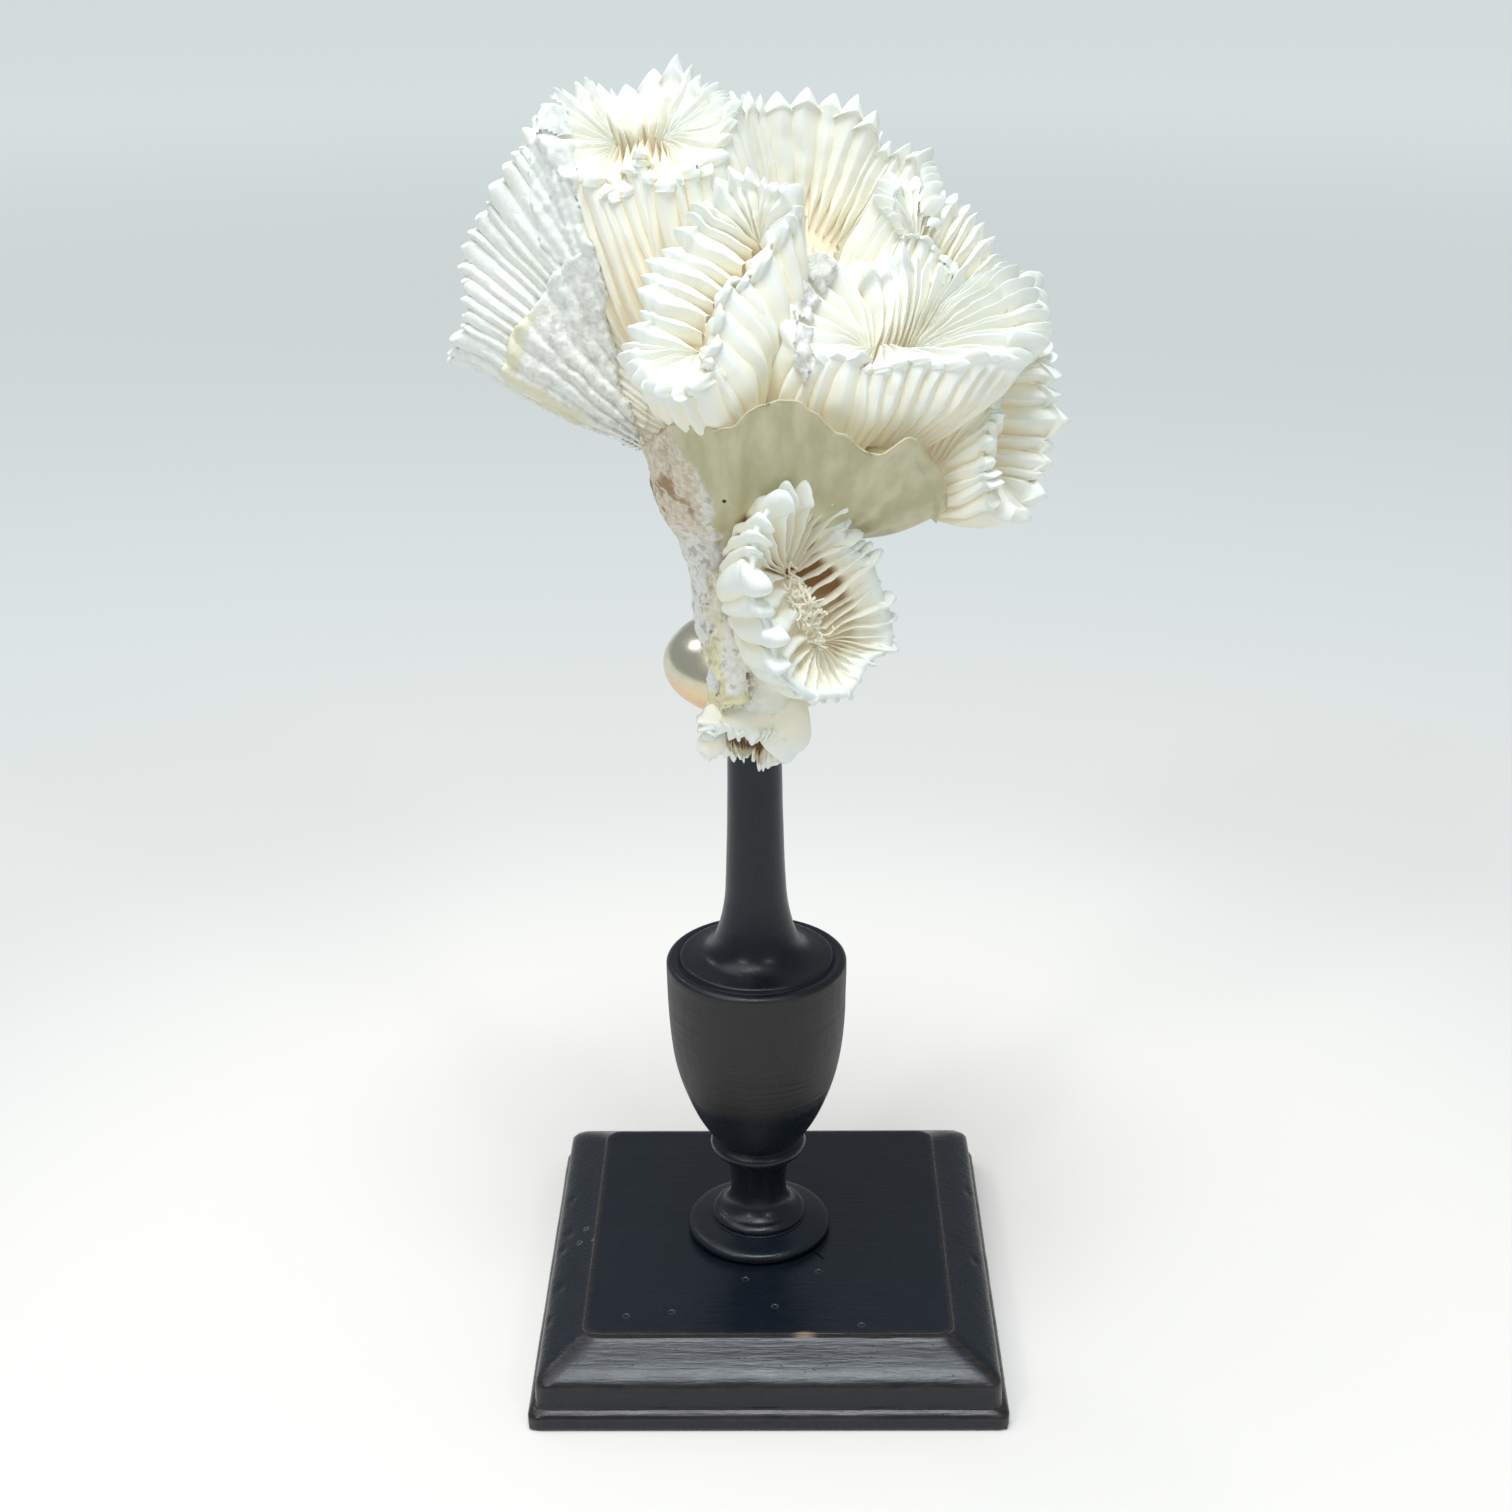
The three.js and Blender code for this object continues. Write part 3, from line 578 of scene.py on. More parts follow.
FAN_LEAF = [
    (-41.5, 287), (-39.2, 283.5), (-37.8, 279.3), (-36.3, 273.1), (-36.1, 267.6), (-35.5, 261.6),
    (-34.3, 258), (-38.8, 255.2), (-43.1, 259.7), (-44.8, 267.6), (-45.6, 275.5), (-44, 283.6),
]
FAN_CRUST = [
    (-53, 232.8), (-51.1, 238.4), (-49.6, 243.1), (-44.2, 249.6), (-40.9, 254.6), (-37.7, 257.6),
    (-34.2, 259.6), (-32.7, 255.2), (-31.5, 245.4), (-30.1, 237.2), (-28.5, 228.8), (-25.6, 221.4),
    (-23.6, 217.1), (-34, 219.9), (-42.2, 224.7), (-48.2, 228.9),
]
NOTCH_CRUST = [
    (6.8, 259.4), (10.7, 260.4), (14.7, 257), (12.1, 252.5), (10.1, 249.6), (9.3, 242.6),
    (8.3, 237.5), (7.1, 241.6), (7, 249.6),
]
# What every head has unless its own entry says otherwise. Lists of numbers go round the rim
# in twelve even steps, from the first end of the valley, and a short one keeps its last value
# from there on. near scales the rim's reach and lift its height, shift and pinch move the
# valley's floor, and wave makes the rim wavy. broad, teeth, fill and bold are the blades'
# breadth, height, thickness and odd big ones (share, breadth, height). A crust is an outline,
# a thickness, a raised edge, how weathered it is and its ridges. A lobe is x and z, half width
# and half height, a turn in degrees and ragged teeth.
# A head's gold setting scales the painted gold shade in its grooves and hollows, and stain sets how brown
# its deepest parts are.
USUAL = dict(
    profile=PLEATED, near=[1], lift=[0], shift=(0, 0, 0), pinch=0, wave=0.8, broad=[1], teeth=[1],
    fill=[1.3], rim_fill=0.6, bold=[], shallow=[1], splay=[0], swirl=[0], relief=1, ragged=0.22,
    inner=1.25, ends=0.45, crease=(1.7, 1.35, 1.8), samples=52, golden=[1], stain=0.15,
    weathered=0, threads=0, lobes=[], crusts=[],
)
HEADS = {
    "coral_centre_head": dict(
        valley=[(-14, -37, 245), (-10, -32, 254), (-2, -24, 263.5)], faces=(-0.42, -0.66, 0.62),
        spread=12.5, root=(-5, -22, 226), blades=35, depth=6.5, tooth=3.4, root_width=5,
        bulge=[2, 4, 7, 7, 5, 3, 2], fill=[1.4], near=[0.96, 0.8, 0.55, 0.5, 0.6, 0.9, 1],
        broad=[0.8, 1.2, 1.5, 1.5, 1.3, 1, 0.9, 0.9, 1, 1, 1, 0.9],
        teeth=[0.9, 0.7, 0.55, 0.5, 0.6, 1, 1.25, 1.25, 1.1, 1.1, 1.1, 1.05],
        shallow=[1, 0.9, 0.8, 0.8, 0.9, 1],
    ),
    "coral_right_head": dict(
        valley=[(18, -29, 248), (28, -27, 249), (43, -20, 245.5)], faces=(0.1, -0.34, 0.93),
        spread=13.5, root=(15, -18, 220), blades=44, depth=9, tooth=3.6, root_width=9,
        bulge=[3, 4, 4.5, 4.5, 4, 2], shift=(-3, -6, -2), pinch=0.75, wave=1.2,
        near=[1, 0.95, 0.9, 0.9, 0.95, 1], lift=[-1, -3, -4, -4, -3, -1, 0],
        broad=[1.3, 1.3, 1.3, 1.3, 1.2, 1, 0.8, 0.6, 0.6, 1.1, 1.8],
        teeth=[0.7, 0.45, 0.4, 0.45, 0.6, 0.8, 1, 1.2, 1.2, 1.3, 1.3, 1],
        fill=[1.15, 1.2, 1.2, 1.2, 1.15, 1.1, 0.95, 0.75, 0.75, 1.1, 1.15],
        bold=[(0.8, 1.6, 1.4), (0.86, 1.8, 1.6), (0.92, 1.6, 1.4)],
        swirl=[1.5, 0, 0, 0, 0, 0, 0, 0, 1, 2.5, 3.5, 3], shallow=[1, 0.7, 0.6, 0.6, 0.8, 1],
        crusts=[(NOTCH_CRUST, 1.6, 0.4, 1, 0)],
    ),
    "coral_far_right_head": dict(
        valley=[(51.4, -18, 234), (52.4, -20, 225), (49.6, -24, 216)], faces=(0.75, -0.62, 0.15),
        spread=9.6, root=(35, -21, 212), blades=30, depth=8, tooth=3.2, root_width=4, bulge=[1],
        fill=[1.05], teeth=[1, 0.8, 0.7, 0.7, 0.7, 0.8, 0.9, 1, 1.1, 1.2, 1.2, 1.1],
    ),
    "coral_right_back_head": dict(
        valley=[(31, -3, 262), (39, -4, 256.5), (46, -5, 247)], faces=(0.4, -0.4, 0.8), spread=11.5,
        root=(20, -4, 219), blades=44, depth=9, tooth=3, root_width=11, bulge=[2], pinch=0.3,
        shallow=[0.8], fill=[1.2], near=[0.85, 0.6, 0.5, 0.5, 0.65, 0.9, 1, 1, 1, 1, 1, 0.95],
        teeth=[1, 0.5, 0.5, 0.6, 0.7, 1, 1.2, 1.2, 1.2, 1.2, 1.2, 1.1],
    ),
    "coral_top_right_head": dict(
        valley=[(-1, 0, 274.5), (10, 3.5, 273), (20, 3, 267.5)], faces=(0.1, -0.6, 0.8), spread=16,
        root=(6, 0, 221), blades=60, depth=11, tooth=3.2, root_width=14, bulge=[3], profile=BOWL,
        shift=(0, -3, -6), pinch=0.4, wave=1.2, ends=0.1, lift=[-2, -6, -8, -8, -8, -6, -2, 0],
        teeth=[0.8, 0.4, 0.3, 0.3, 0.3, 0.4, 0.9, 1],
    ),
    "coral_top_left_head": dict(
        valley=[(-32, -3, 280.8), (-24, -2, 282.8), (-17, -3, 281.8)], faces=(-0.1, -0.42, 0.9),
        spread=12.5, root=(-9, -1, 222), blades=50, depth=6.5, tooth=3.4, root_width=12, bulge=[3],
        shift=(0, -2, -2), pinch=0.4, shallow=[0.4], wave=2.2, ends=0.2,
        lift=[0, -3, -5, -6, -5, -3, 0], broad=[1, 1.1, 1.2, 1.2, 1.2, 1.1, 1, 1, 1.2, 1.2, 1],
        teeth=[0.9, 0.6, 0.45, 0.45, 0.45, 0.6, 0.9, 0.9, 1],
        golden=[1, 1.4, 1.9, 1.9, 1.9, 1.4, 1, 0.9],
    ),
    "coral_left_fan": dict(
        valley=[(-58, 2, 243), (-56, 3, 259), (-46, 3, 274)], faces=(-0.84, 0.22, 0.45), spread=11,
        root=(-15, -6, 224), blades=46, depth=8, tooth=3, root_width=7,
        bulge=[0, 1.5, 2.5, 2.5, 2.5, 2.5, 2.5, 2.5, 2.5, 2, 1, 0], teeth=[0.55],
        broad=[1, 0.9, 0.9, 1, 1.3, 1.4, 1], relief=0.35, wave=0.5, crease=(1, 1.2, 1.5),
        # The whole fan takes a little of the crust's grey, which makes it greyer and darker than the other
        # heads.
        golden=[0.3], weathered=0.35,
        crusts=[(FAN_LEAF, 0.9, 0.3, 0.25, 0), (FAN_CRUST, 0.8, 0.3, 0.9, 1.3)],
    ),
    "coral_front_cup": dict(
        valley=[(7, -39.5, 201), (9.8, -40.5, 195), (12.8, -39.5, 187.5)],
        faces=(0.56, -0.81, 0.17), spread=14, root=(-1, -17, 187), blades=34, depth=10, tooth=3.2,
        root_width=8, bulge=[2.5], profile=FUNNEL, shift=(1.6, 0, -3),
        broad=[0.9, 1.7, 2.2, 1.7, 1, 0.9],
        teeth=[1.1, 1.3, 1.4, 1.3, 0.9, 0.8, 0.8, 0.8, 0.8, 0.8, 0.9, 1],
        fill=[0.3, 0.6, 0.85, 0.85, 0.6, 0.42, 0.4, 0.4, 0.38, 0.36, 0.34, 0.3],
        bold=[
            (0, 1.5, 2), (0.93, 1.5, 1.8), (0.86, 1.5, 1.8), (0.79, 1.5, 1.8), (0.71, 1.5, 1.7),
            (0.62, 1.5, 1.6), (0.54, 1.4, 1.6),
        ],
        splay=[0.6, 0, 0, 0, 0.3, 0.9], crease=(1.3, 0.8, 1), inner=0.9, rim_fill=0.9, ragged=0.3,
        samples=60, threads=160, golden=[1.3, 1, 0.6, 0.6, 0.9, 1.1, 1.1, 1.15, 1.25, 1.3],
    ),
    "coral_bottom_cup": dict(
        valley=[(-6.5, -30, 159.6), (-3.5, -31, 158.8), (-0.5, -30, 158.2)],
        faces=(-0.1, -0.8, -0.6), spread=5.5, root=(-1.5, -15, 167), blades=36, depth=7, tooth=1,
        root_width=7, bulge=[1.5], profile=HOLLOW, fill=[0.8], relief=0.3, crease=(1.2, 1, 1),
        inner=0.9, golden=[1.7], stain=0.9, threads=260,
        lobes=[
            (4.6, 163, 5, 7, -14, 0), (-4.6, 165.2, 7.6, 3.2, 4, 0.6),
            (-10.4, 158.8, 2.6, 3.2, 25, 0.2),
        ],
    ),
}


RIM_STEPS = 12
KNEE = 0.66
WALL_INSET = 0.6
SKIN_STEPS = 8
# Over the rim: how far in from it and how high a blade's foot lies, and then its edge.
RIM_TOOTH = (
    (-1.6, -1.6, 0.55, -0.1), (-2, -1.6, 0.95, 0.55), (-2.6, -1.6, 0.2, 0.95), (-3.2, -1.8, -1.7, 1),
)


def going_round(values, share):
    """A list's value at a share of the way round the rim."""
    values = [*values, *[values[-1]] * (RIM_STEPS - len(values))]
    return np.interp(share, np.arange(RIM_STEPS) / RIM_STEPS, values, period=1)


def round_the_rim(head, share):
    """Where each share of the way round the rim sits on the valley, and its directions."""
    opening = unit(np.array(head.faces))
    line = smooth_line(head.valley, 97)
    steps = np.linalg.norm(np.diff(line, axis=0, prepend=line[:1]), axis=1).cumsum()
    length, spread = steps[-1], head.spread
    cap = math.pi * spread
    way = share * (2 * length + 2 * cap) - cap / 2
    legs = [way < 0, way < length, way < length + cap, way < 2 * length + cap]
    along = np.select(legs, [0 * way, way, 0 * way + length, 2 * length + cap - way], 0)
    turns = [way / spread, 0 * way, (way - length) / spread, 0 * way + math.pi]
    turn = np.select(legs, turns, math.pi + (way - 2 * length - cap) / spread)
    middle, slope = line[len(line) // 2], np.gradient(line, axis=0)
    spine, ahead = (
        np.stack([np.interp(along, steps, part[:, k]) for k in range(3)], -1) for part in (line, slope)
    )
    ahead = unit(ahead - (ahead @ opening)[..., None] * opening)
    side = np.cross(ahead, opening)
    angle = share * math.tau
    reach = spread * (1 + 0.07 * np.sin(3 * angle + head.seed) + 0.05 * np.sin(7 * angle))
    waves = np.sin(5 * angle + 2 * head.seed) + 0.7 * np.sin(9 * angle + head.seed)
    lift = np.zeros((len(share), 3))
    lift[:, 2] = going_round(head.lift, share) + head.wave * waves
    return SimpleNamespace(
        opening=opening, middle=middle, spine=spine, angle=angle, lift=lift,
        out=side * np.cos(turn)[..., None] + ahead * np.sin(turn)[..., None],
        reach=reach * going_round(head.near, share),
        shift=(middle - spine) * head.pinch + head.shift,
    )


def blade_places(head, chances):
    """Each blade's share of the way round the rim, its breadth and its height."""
    count = head.blades
    even = np.arange(count) / count
    breadth = np.where(np.arange(count) % 2 == 0, 1.15, 0.85) * chances.uniform(0.65, 1.4, count)
    height = breadth**0.5 * chances.uniform(0.7, 1.3, count)
    breadth = breadth * going_round(head.broad, even)
    for share, wide, tall in head.bold:
        breadth[round(share * count)], height[round(share * count)] = wide, tall
    share = (np.cumsum(breadth) - 0.5 * breadth) / breadth.sum()
    return share, breadth, height * going_round(head.teeth, share)


def outer_wall(head, at, up, swell, inset=WALL_INSET, slack=0.7):
    """Points up the outside of the wall: up is 0 at the root and 1 at the rim."""
    foot = head.root + at.out * head.root_width + 0.3 * (at.spine - at.middle)
    rim = at.spine + at.lift + at.out * (at.reach - inset)[:, None]
    knee = 1 - ((KNEE - up) / (KNEE if up < KNEE else 1 - KNEE)) ** 2
    bulge = knee * going_round(head.bulge, at.angle / math.tau)
    swell = swell - slack * max(0, up - KNEE) / (1 - KNEE)
    return foot + (rim - foot) * up + at.out * (bulge + swell)[:, None]


def over_the_valley(at, across, up):
    """Points across the cup: across is 1 at the rim and 0 at the valley's middle."""
    across = np.broadcast_to(across, at.reach.shape)[:, None]
    level = at.spine + at.out * across * at.reach[:, None]
    level = level + at.lift * across + at.shift * (1 - across)
    return level + at.opening * np.broadcast_to(up, at.reach.shape)[:, None]


def wall_skin(head, places):
    """The wall between the blades, from the root over the rim to the valley floor."""
    steps = np.arange(head.blades * SKIN_STEPS) / SKIN_STEPS
    share = np.interp(steps, np.arange(head.blades + 1), [*places, places[0] + 1]) % 1
    at = round_the_rim(head, share)
    rib = (0.5 + 0.5 * np.cos(math.tau * steps)) ** 0.7
    rows, deep = [], []
    for up in np.linspace(0, 1, 26):
        row = outer_wall(head, at, up, rib * 1.1 * min(1, up * 2.2) - 0.5)
        rows.append(row + at.opening * (-0.8 * up**6))
        # Painted shade: gold in the grooves between the ribs and lower down the outside toward the root.
        deep.append((1 - rib) * (0.35 + 0.5 * (1 - up)) + 0.5 * (1 - up) ** 1.3)
    # Inside the cup each row takes its painted shade from the profile, scaled round the rim by the head's
    # gold strength.
    for across, up, shade in head.profile["wall"]:
        inset = (WALL_INSET + rib * 3.6 * across * (1 - across)) / at.reach
        rows.append(over_the_valley(at, across - inset * across, up * head.depth))
        deep.append(np.full(len(steps), shade))
    deep = np.array(deep) * going_round(head.golden, share)
    return np.concatenate(rows), ring_faces(len(rows), len(steps)), deep.ravel()


def blade_lines(head, at, height, shallow, splay):
    """Each blade's foot on the wall and its free edge, from the root to the valley floor."""
    depth, tooth = head.depth, head.tooth * height
    base, edge = [], []
    for up, crest in ((0.16, 0), (0.34, 0.45), (0.52, 0.8), (0.7, 0.95), (0.86, 1)):
        base.append(outer_wall(head, at, up, -1.1))
        edge.append(outer_wall(head, at, up, (0.45 + crest * 0.6 * height) * head.relief))
    for inner, low, outer, high in RIM_TOOTH:
        outer = (outer + splay * (high > 0.5)) * np.clip(height, 0.5, 1.5)
        base.append(over_the_valley(at, 1 + inner / at.reach, low))
        edge.append(over_the_valley(at, 1 + outer / at.reach, high * tooth))
    feet, crests = head.profile["foot"], head.profile["crest"]
    for (inner, low), (outer, high), share in zip(feet, crests, (0.75, 0.5, 0.3, 0.15, 0)):
        high = high * depth * (shallow if high < 0 else 1)
        base.append(over_the_valley(at, inner, low * depth))
        edge.append(over_the_valley(at, outer, high + (tooth - head.tooth * 0.8) * share))
    return smooth_line(base, head.samples), smooth_line(edge, head.samples)


def blade_plates(head, places, breadth, height, chances):
    """The blades as rounded closed plates, each standing across the wall."""
    names = ("shallow", "splay", "swirl", "fill", "golden")
    shallow, splay, swirled, fill, golden = (going_round(getattr(head, n), places) for n in names)
    at = round_the_rim(head, places)
    base, edge = blade_lines(head, at, height, shallow, splay)
    run = np.linspace(0, 1, head.samples)[:, None]
    seed = head.seed
    notches = (grain(edge, 0.9, seed) + 0.6 * grain(edge, 0.45, seed + 1)) * head.ragged
    edge = edge + unit(edge - base) * (notches * (0.3 + 0.7 * (run > 0.35)))[..., None]
    edge = edge + unit(edge - base) * 0.3 * grain(edge, 3.5, seed + 2)[..., None]
    swirl = 1.1 * np.sin(2 * at.angle + seed) + 0.5 * np.sin(5 * at.angle)
    lean = (swirl + chances.normal(0, 0.35, len(places))) * np.exp(-(((run - 0.58) / 0.2) ** 2))
    phase = chances.uniform(0, 6.28, len(places))
    lean = lean + 0.2 * np.sin(run * 13 + phase) + 0.1 * np.sin(run * 29 + 2 * phase)
    bend = swirled * np.sin(math.pi * ramp((run - 0.42) / 0.58))
    middle = (base + edge) / 2
    gap = np.linalg.norm(np.roll(middle, -1, 1) - middle, axis=-1)
    gap = (gap + np.roll(gap, 1, 1)) / 2
    gap = gap * breadth / ((np.roll(breadth, 1) + 2 * breadth + np.roll(breadth, -1)) / 4)
    taper = [1, 1, 0.95, head.inner, head.inner, head.ends]
    taper = np.interp(run, [0, 0.42, 0.5, 0.6, 0.85, 1], taper)
    stout = np.interp(run, [0.3, 0.42, 0.52, 0.62], [1, 1, 0.9, 0])
    rim_fill = np.clip(fill, head.rim_fill, 0.95)
    thick = 0.55 * gap * taper * (fill + (rim_fill - fill) * stout)
    blunt = np.interp(run, [0.3, 0.45, 0.6], head.crease)[..., None]
    arc = np.linspace(0, math.pi / 2, 8)
    rise, halves = np.sin(arc), []
    for sign in (1, -1):
        half = base[:, :, None] + (edge - base)[:, :, None] * rise[:, None]
        sideways = bend[..., None] + lean[..., None] * rise + sign * thick[..., None] * np.cos(arc) ** blunt
        halves.append(half + sideways[..., None] * np.cross(at.out, at.opening)[None, :, None])
    ribbon = np.concatenate([halves[0], halves[1][:, :, -2::-1]], 2).transpose(1, 0, 2, 3)
    blades, samples, across, _ = ribbon.shape
    one = ring_faces(samples, across, closed=False)
    faces = (one + (np.arange(blades) * samples * across)[:, None, None]).reshape(-1, 4)
    over = np.append(rise, rise[-2::-1])
    # Painted shade on the blades: white at their crests, gold down their flanks, near the root and toward
    # the valley floor.
    low_out, low_in = ramp(1 - run / 0.42), ramp((run - 0.55) / 0.45)
    deep = (1 - over) * (0.4 + 0.25 * low_in + 0.45 * low_out) + low_in * 0.25 + 0.65 * low_out**1.1
    deep = np.broadcast_to(deep * golden[:, None, None], ribbon.shape[:3])
    return ribbon.reshape(-1, 3), faces, deep.ravel()


def strand(head, chances):
    """The spongy strand on the valley floor: short crooked threads, tangled together."""
    line = smooth_line(head.valley, 60)
    line = line + (line[len(line) // 2] - line) * head.pinch + head.shift
    opening = unit(np.array(head.faces))
    low = head.profile["crest"][-1][1]
    rows, sides = 9, 6
    spin = np.linspace(0, math.tau, sides, endpoint=False)[:, None]
    points, faces = [], []
    for number in range(head.threads):
        here = line[chances.integers(2, 58)] + opening * head.depth * (low - chances.uniform(-0.06, 0.2))
        path = smooth_line(here + np.cumsum(chances.normal(0, 0.75, (5, 3)), 0), rows)
        tube = chances.uniform(0.16, 0.34)
        ahead = unit(np.gradient(path, axis=0))
        side = unit(np.cross(ahead, opening))
        other = np.cross(ahead, side)
        points += [p + tube * (np.cos(spin) * s + np.sin(spin) * o) for p, s, o in zip(path, side, other)]
        faces.append(ring_faces(rows, sides) + number * rows * sides)
    points = np.concatenate(points)
    # The threads take a middling painted shade, as they lie down on the valley floor.
    return points, np.concatenate(faces), np.full(len(points), 0.55)


def room(head):
    """A plain closed skin just inside the head's wall, to trim its neighbours against."""
    sides = 48
    at = round_the_rim(head, np.arange(sides) / sides)
    rows = [outer_wall(head, at, up, -0.7, inset=0.2, slack=0) for up in np.linspace(0, 1, 7)]
    rows.append(rows[-1] + at.opening * (head.tooth * 0.9))
    points = np.concatenate([*rows, [rows[0].mean(0)], [rows[-1].mean(0)]])
    here, last = np.arange(sides), (len(rows) - 1) * sides
    after = (here + 1) % sides
    foot = np.stack([here, 0 * here + len(points) - 2, after], -1)
    top = np.stack([here + last, after + last, 0 * here + len(points) - 1], -1)
    faces = [face for group in (ring_faces(len(rows), sides), foot, top) for face in group.tolist()]
    return BVHTree.FromPolygons(points.tolist(), faces), points.min(0), points.max(0)


def inside(points, solid):
    """Which points lie inside a closed skin, given as its tree and its box."""
    tree, low, high = solid
    hit = np.all((points > low) & (points < high), axis=1)
    for k in np.nonzero(hit)[0]:
        near, normal, _, _ = tree.find_nearest(points[k])
        hit[k] = (Vector(points[k]) - near).dot(normal) < 0
    return hit


# The bleached skeleton: its colour carries painted shade by depth, and it glows faintly with painted light.
white = Finish("coral_bleached_skeleton", Specular_IOR_Level=0.4, Emission_Strength=0.2)
mottle = white.noise(6, detail=4)
fine = white.noise(1, detail=5, rough=0.6)
# deep is painted shade: 0 at crests and rims, up to 1 down in grooves and hollows, where white turns to
# ivory and then gold.
shade = (white.field("deep") + (mottle - 0.5) * 0.35).between(0, 1, soft=False)
colour = white.mix(shade.between(0, 0.4), CORAL_TIP, CORAL_IVORY_AND_SHADE)
colour = white.mix(shade.between(0.45, 0.95), colour, CORAL_GOLD_SHADE)
browned = white.field("stain") * shade.between(0.5, 0.85)
# A painted glow: warm emission that lifts the shaded parts, as if light shone through the thin skeleton,
# and very little where it is stained brown.
glow = white.mix(shade, (0.12, 0.13, 0.125), (0.78, 0.69, 0.5))
glow = white.mix(browned, glow, (0.06, 0.03, 0.01))
colour = white.mix(browned, colour, CORAL_BROWN)
# Small darker specks on the crust: painted shade in pits that are not cut into the surface.
painted_pit_shade = white.noise(2.4, detail=3).between(0.36, 0.46)
crust_colour = white.mix(fine.between(0.3, 0.7), (0.74, 0.74, 0.69), (0.92, 0.93, 0.9))
crust_colour = white.mix(painted_pit_shade, (0.68, 0.665, 0.6), crust_colour)
crust_colour = white.mix(white.field("flakes"), crust_colour, (0.8, 0.75, 0.5))
colour = white.mix(white.field("crust"), colour, crust_colour)
gloss = 0.42 + shade * 0.25 + white.field("crust") * 0.25 + fine * 0.1
relief = fine * (0.25 + white.field("crust") * 1.2) + mottle * 0.3
coral_white = white.feed(
    Base_Color=colour, Roughness=gloss, Normal=white.bump(relief, 0.22), Emission_Color=glow
)


def lobe(under, x, z, wide, tall, turn, ragged):
    """A smooth lobe on the front of a surface, with teeth along its lower edge."""
    place = under.ray_cast((x, -90, z), (0, 1, 0))[0]
    rows, around, turn = 12, 72, math.radians(turn)
    polar = np.linspace(0, math.pi / 2, rows)[:, None]
    round_way = np.linspace(0, math.tau, around, endpoint=False)
    teeth = ramp(-np.sin(round_way)) * (0.5 + 0.5 * np.cos(15 * round_way + np.sin(3 * round_way)))
    swell = 0.09 * np.sin(2 * round_way + 1) + 0.05 * np.sin(5 * round_way + x)
    far = np.sin(polar) * (1 + swell + ragged * teeth * np.sin(polar) ** 3)
    right, up = wide * far * np.cos(round_way), tall * far * np.sin(round_way)
    sideways = right * math.cos(turn) + up * math.sin(turn)
    upward = up * math.cos(turn) - right * math.sin(turn)
    front, rear = (
        np.stack([sideways, out + 0.3 * up, upward], -1) for out in (-2.4 * np.cos(polar) ** 1.2, 2.5)
    )
    # Painted shade: beige in a band a little above the lobe's middle, fading to white toward its top and
    # bottom edges.
    deep = np.clip(0.5 - 0.55 * np.abs(up / tall - 0.2), 0, 0.8)
    points = np.concatenate([front, rear[::-1]]).reshape(-1, 3) + (x, place.y if place else -20, z)
    return points, ring_faces(2 * rows, around), np.append(deep, deep[::-1])


rooms = []
for number, (name, own) in enumerate(HEADS.items()):
    head = SimpleNamespace(**{**USUAL, **own}, seed=number + 1)
    chances = np.random.default_rng(40 + number)
    places, breadth, height = blade_places(head, chances)
    parts = [wall_skin(head, places), blade_plates(head, places, breadth, height, chances)]
    if head.threads:
        parts.append(strand(head, chances))
    if head.lobes:
        blades = BVHTree.FromPolygons(parts[1][0].tolist(), parts[1][1].tolist())
        parts += [lobe(blades, *numbers) for numbers in head.lobes]
    starts = np.cumsum([0] + [len(p) for p, _, _ in parts])
    points = np.concatenate([p for p, _, _ in parts])
    for size, far in ((10, 0.6), (4, 0.25)):
        points = points + far * np.stack([grain(points, size, k + head.seed) for k in (1, 2, 3)], -1)
    faces = np.concatenate([f + start for (_, f, _), start in zip(parts, starts)])
    deep = np.concatenate([d for _, _, d in parts])
    cut = np.zeros(len(points), bool)
    for solid in rooms:
        cut |= inside(points, solid)
    faces = faces[~cut[faces].all(1)]
    rooms.append(room(head))
    stain = np.full(len(points), head.stain)
    if name == "coral_front_cup":
        stain = np.clip(0.5 + (points[:, 2] - 188) / 12, 0.35, 1)
    crust, flakes = np.full(len(points), head.weathered), np.zeros(len(points))
    ground_points, ground_faces = points, faces
    if name == "coral_left_fan":
        # The fan's crust also lies over the head beside it, which was made just before.
        ground_points = np.concatenate([points, beside_points])
        ground_faces = np.concatenate([faces, beside_faces + len(points)])
    beside_points, beside_faces = points, faces
    for outline, thick, curl, weathered, ridges in head.crusts:
        layer, layer_faces, margin = crust_over(
            ground_points, ground_faces, outline, thick, curl, number + 30, ridges
        )
        faces = np.concatenate([faces, layer_faces + len(points)])
        points = np.concatenate([points, layer])
        deep, stain = (np.append(shades, 0 * margin) for shades in (deep, stain))
        crust = np.append(crust, 0 * margin + weathered)
        flaky_edge = ramp(2.2 - margin / 1.6 + grain(layer, 3, 8)) * (weathered > 0.5)
        low_left = ramp((249 - layer[:, 2]) / 5) * ramp((-34 - layer[:, 0]) / 4)
        flakes = np.append(flakes, flaky_edge * low_left * 0.8)
    make_piece(
        name.replace("coral_", "polyp_"), points, [faces], "coral_white", coral_white, name,
        deep=deep, stain=stain, crust=crust, flakes=flakes,
    )

# Floor, light and camera: a pale floor under soft studio light, seen from where the
# photograph was taken.

bpy.ops.mesh.primitive_plane_add(size=24)
floor = bpy.context.object
floor.name = "studio_floor"
pale = Finish("pale_studio_floor", Roughness=0.9, Specular_IOR_Level=0.2)
away = pale.distance((0, 0, 0), (1, 1, 0))
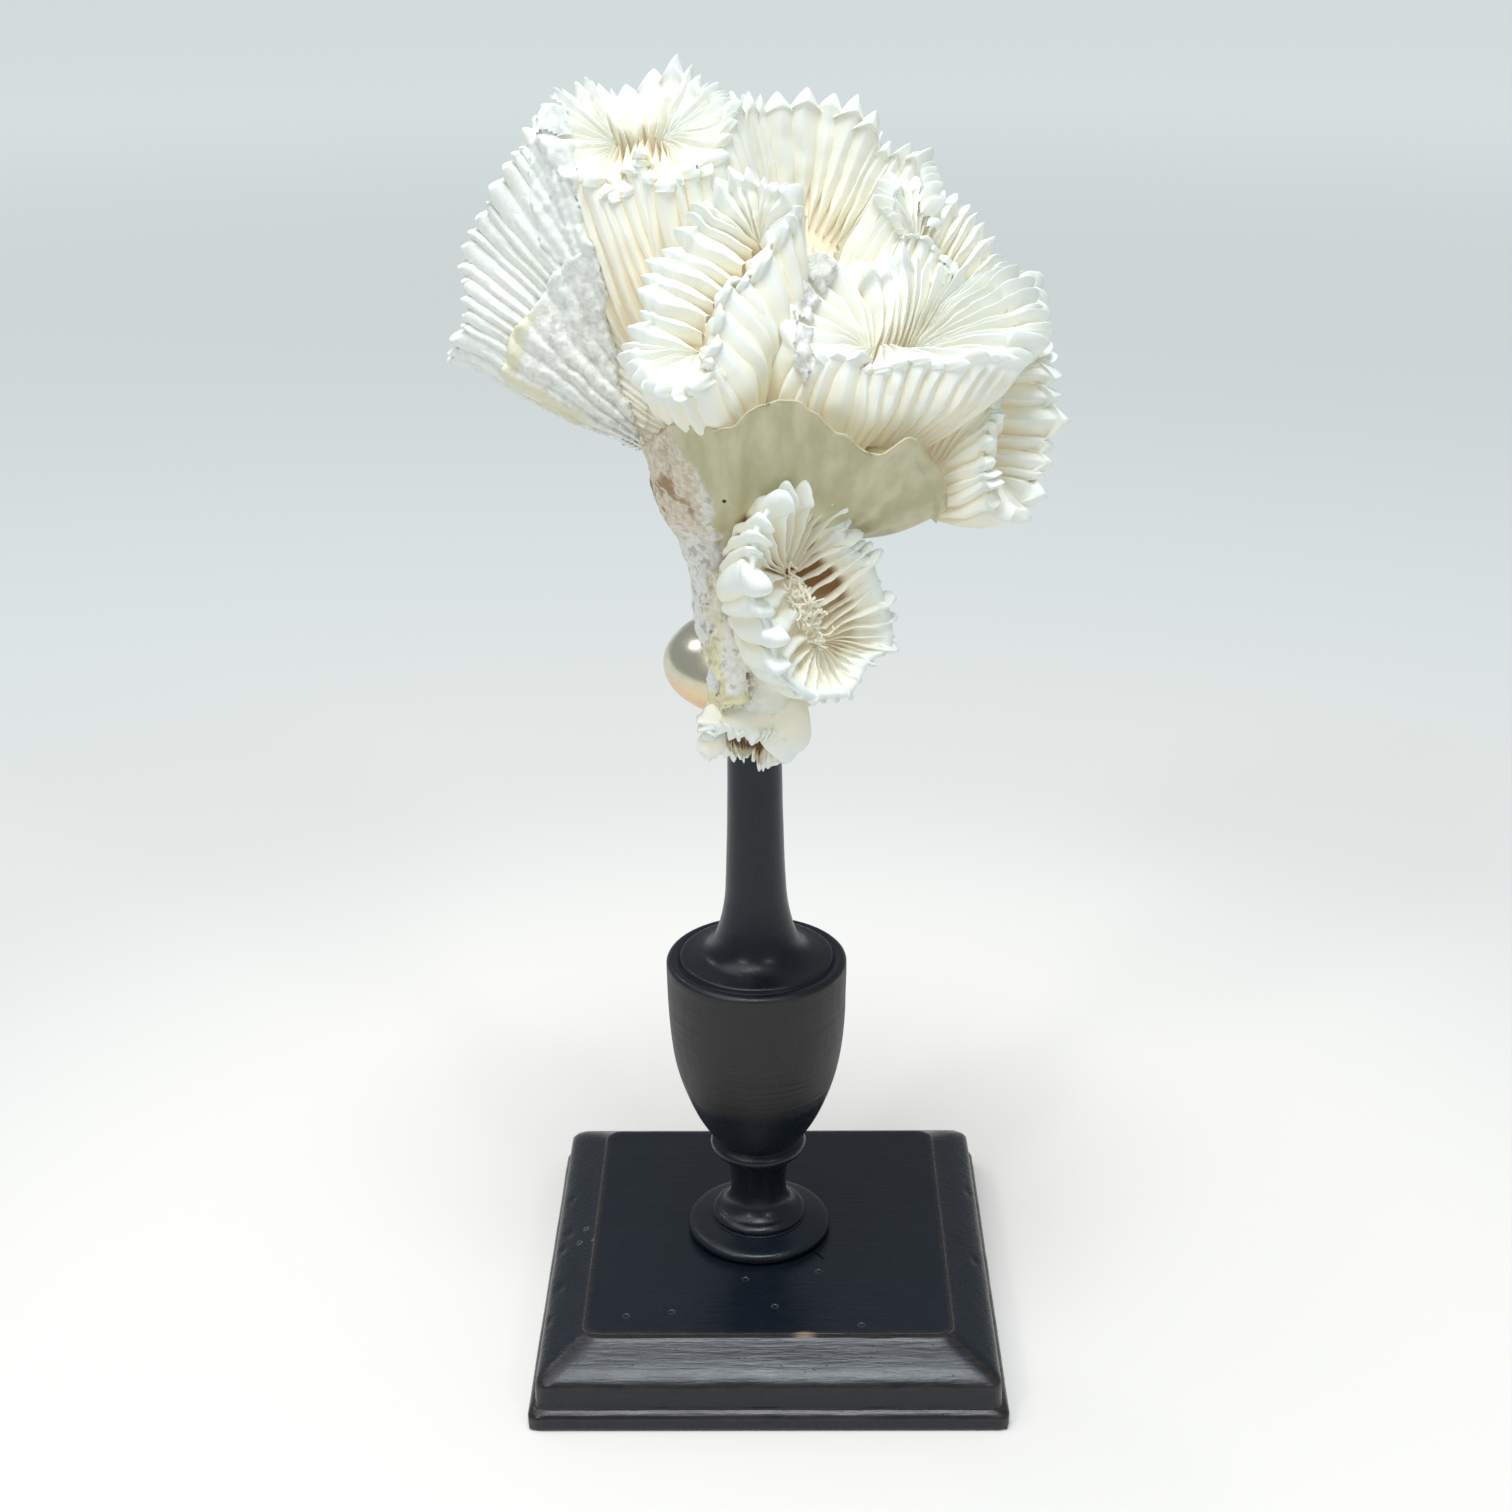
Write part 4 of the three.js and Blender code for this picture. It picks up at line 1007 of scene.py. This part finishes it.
# The floor's tone is painted light: a bright pool round the stand that dims further out, then turns pale
# again far off, where the floor meets the backdrop.
painted_floor_light = pale.mix(away.between(160, 340), (0.845, 0.82, 0.785), (0.72, 0.715, 0.69))
painted_floor_light = pale.mix(away.between(340, 650), painted_floor_light, (0.69, 0.72, 0.71))
painted_floor_light = pale.mix(away.between(800, 2800), painted_floor_light, (0.93, 1, 0.98))
floor.data.materials.append(pale.feed(Base_Color=painted_floor_light))

world = bpy.data.worlds.new("studio_air")
bpy.context.scene.world = world
world.use_nodes = True
background = world.node_tree.nodes["Background"].inputs
background["Color"].default_value = (0.9, 0.97, 1, 1)
background["Strength"].default_value = 0.3


def soft_light(name, kind, place, target, power, size, tint=(1, 1, 1)):
    """A lamp at place that points at target; size is a disc's width or the sky's angle."""
    lamp = bpy.data.lights.new(name, kind)
    lamp.energy, lamp.color = power, tint
    if kind == "SUN":
        lamp.angle = math.radians(size)
    else:
        lamp.shape, lamp.size = "DISK", size
    holder = add_object(name, lamp)
    holder.location = place
    holder.rotation_euler = (Vector(target) - Vector(place)).to_track_quat("-Z", "Y").to_euler()


soft_light("ceiling_glow", "SUN", (-0.3, -0.2, 1.6), (0, 0, 0.1), 1.4, 60)
soft_light("skylight", "AREA", (0, -0.35, 1.5), (0, 0, 0.1), 10.5, 0.6, (0.87, 0.94, 1))
soft_light("window_left", "AREA", (-0.8, -1.1, 1.2), (0, 0, 0.15), 2.6, 0.2)
soft_light("window_behind", "AREA", (-0.88, 0.79, 1.1), (-0.02, 0, 0.17), 0.9, 0.2)
soft_light("window_right", "AREA", (0.75, -1.1, 1.1), (0, 0, 0.15), 1.6, 0.17)

CAMERA_PLACE = (0.00355, -0.45596, 0.33561)
YAW, PITCH, ROLL = (math.radians(a) for a in (-0.706, 22.828, 0.536))
ahead = Vector(
    (math.sin(YAW) * math.cos(PITCH), math.cos(YAW) * math.cos(PITCH), -math.sin(PITCH))
)
level = Vector((math.cos(YAW), -math.sin(YAW), 0))
down = ahead.cross(level)
right = math.cos(ROLL) * level + math.sin(ROLL) * down
up = math.sin(ROLL) * level - math.cos(ROLL) * down
lens = bpy.data.cameras.new("photo_camera")
lens.sensor_width, lens.lens = 36, 52.325
lens.clip_start, lens.clip_end = 0.01, 60
camera = add_object("photo_camera", lens)
camera.matrix_world = Matrix.Translation(CAMERA_PLACE) @ Matrix((right, up, -ahead)).transposed().to_4x4()
bpy.context.scene.camera = camera
bpy.context.scene.view_settings.view_transform = "Standard"
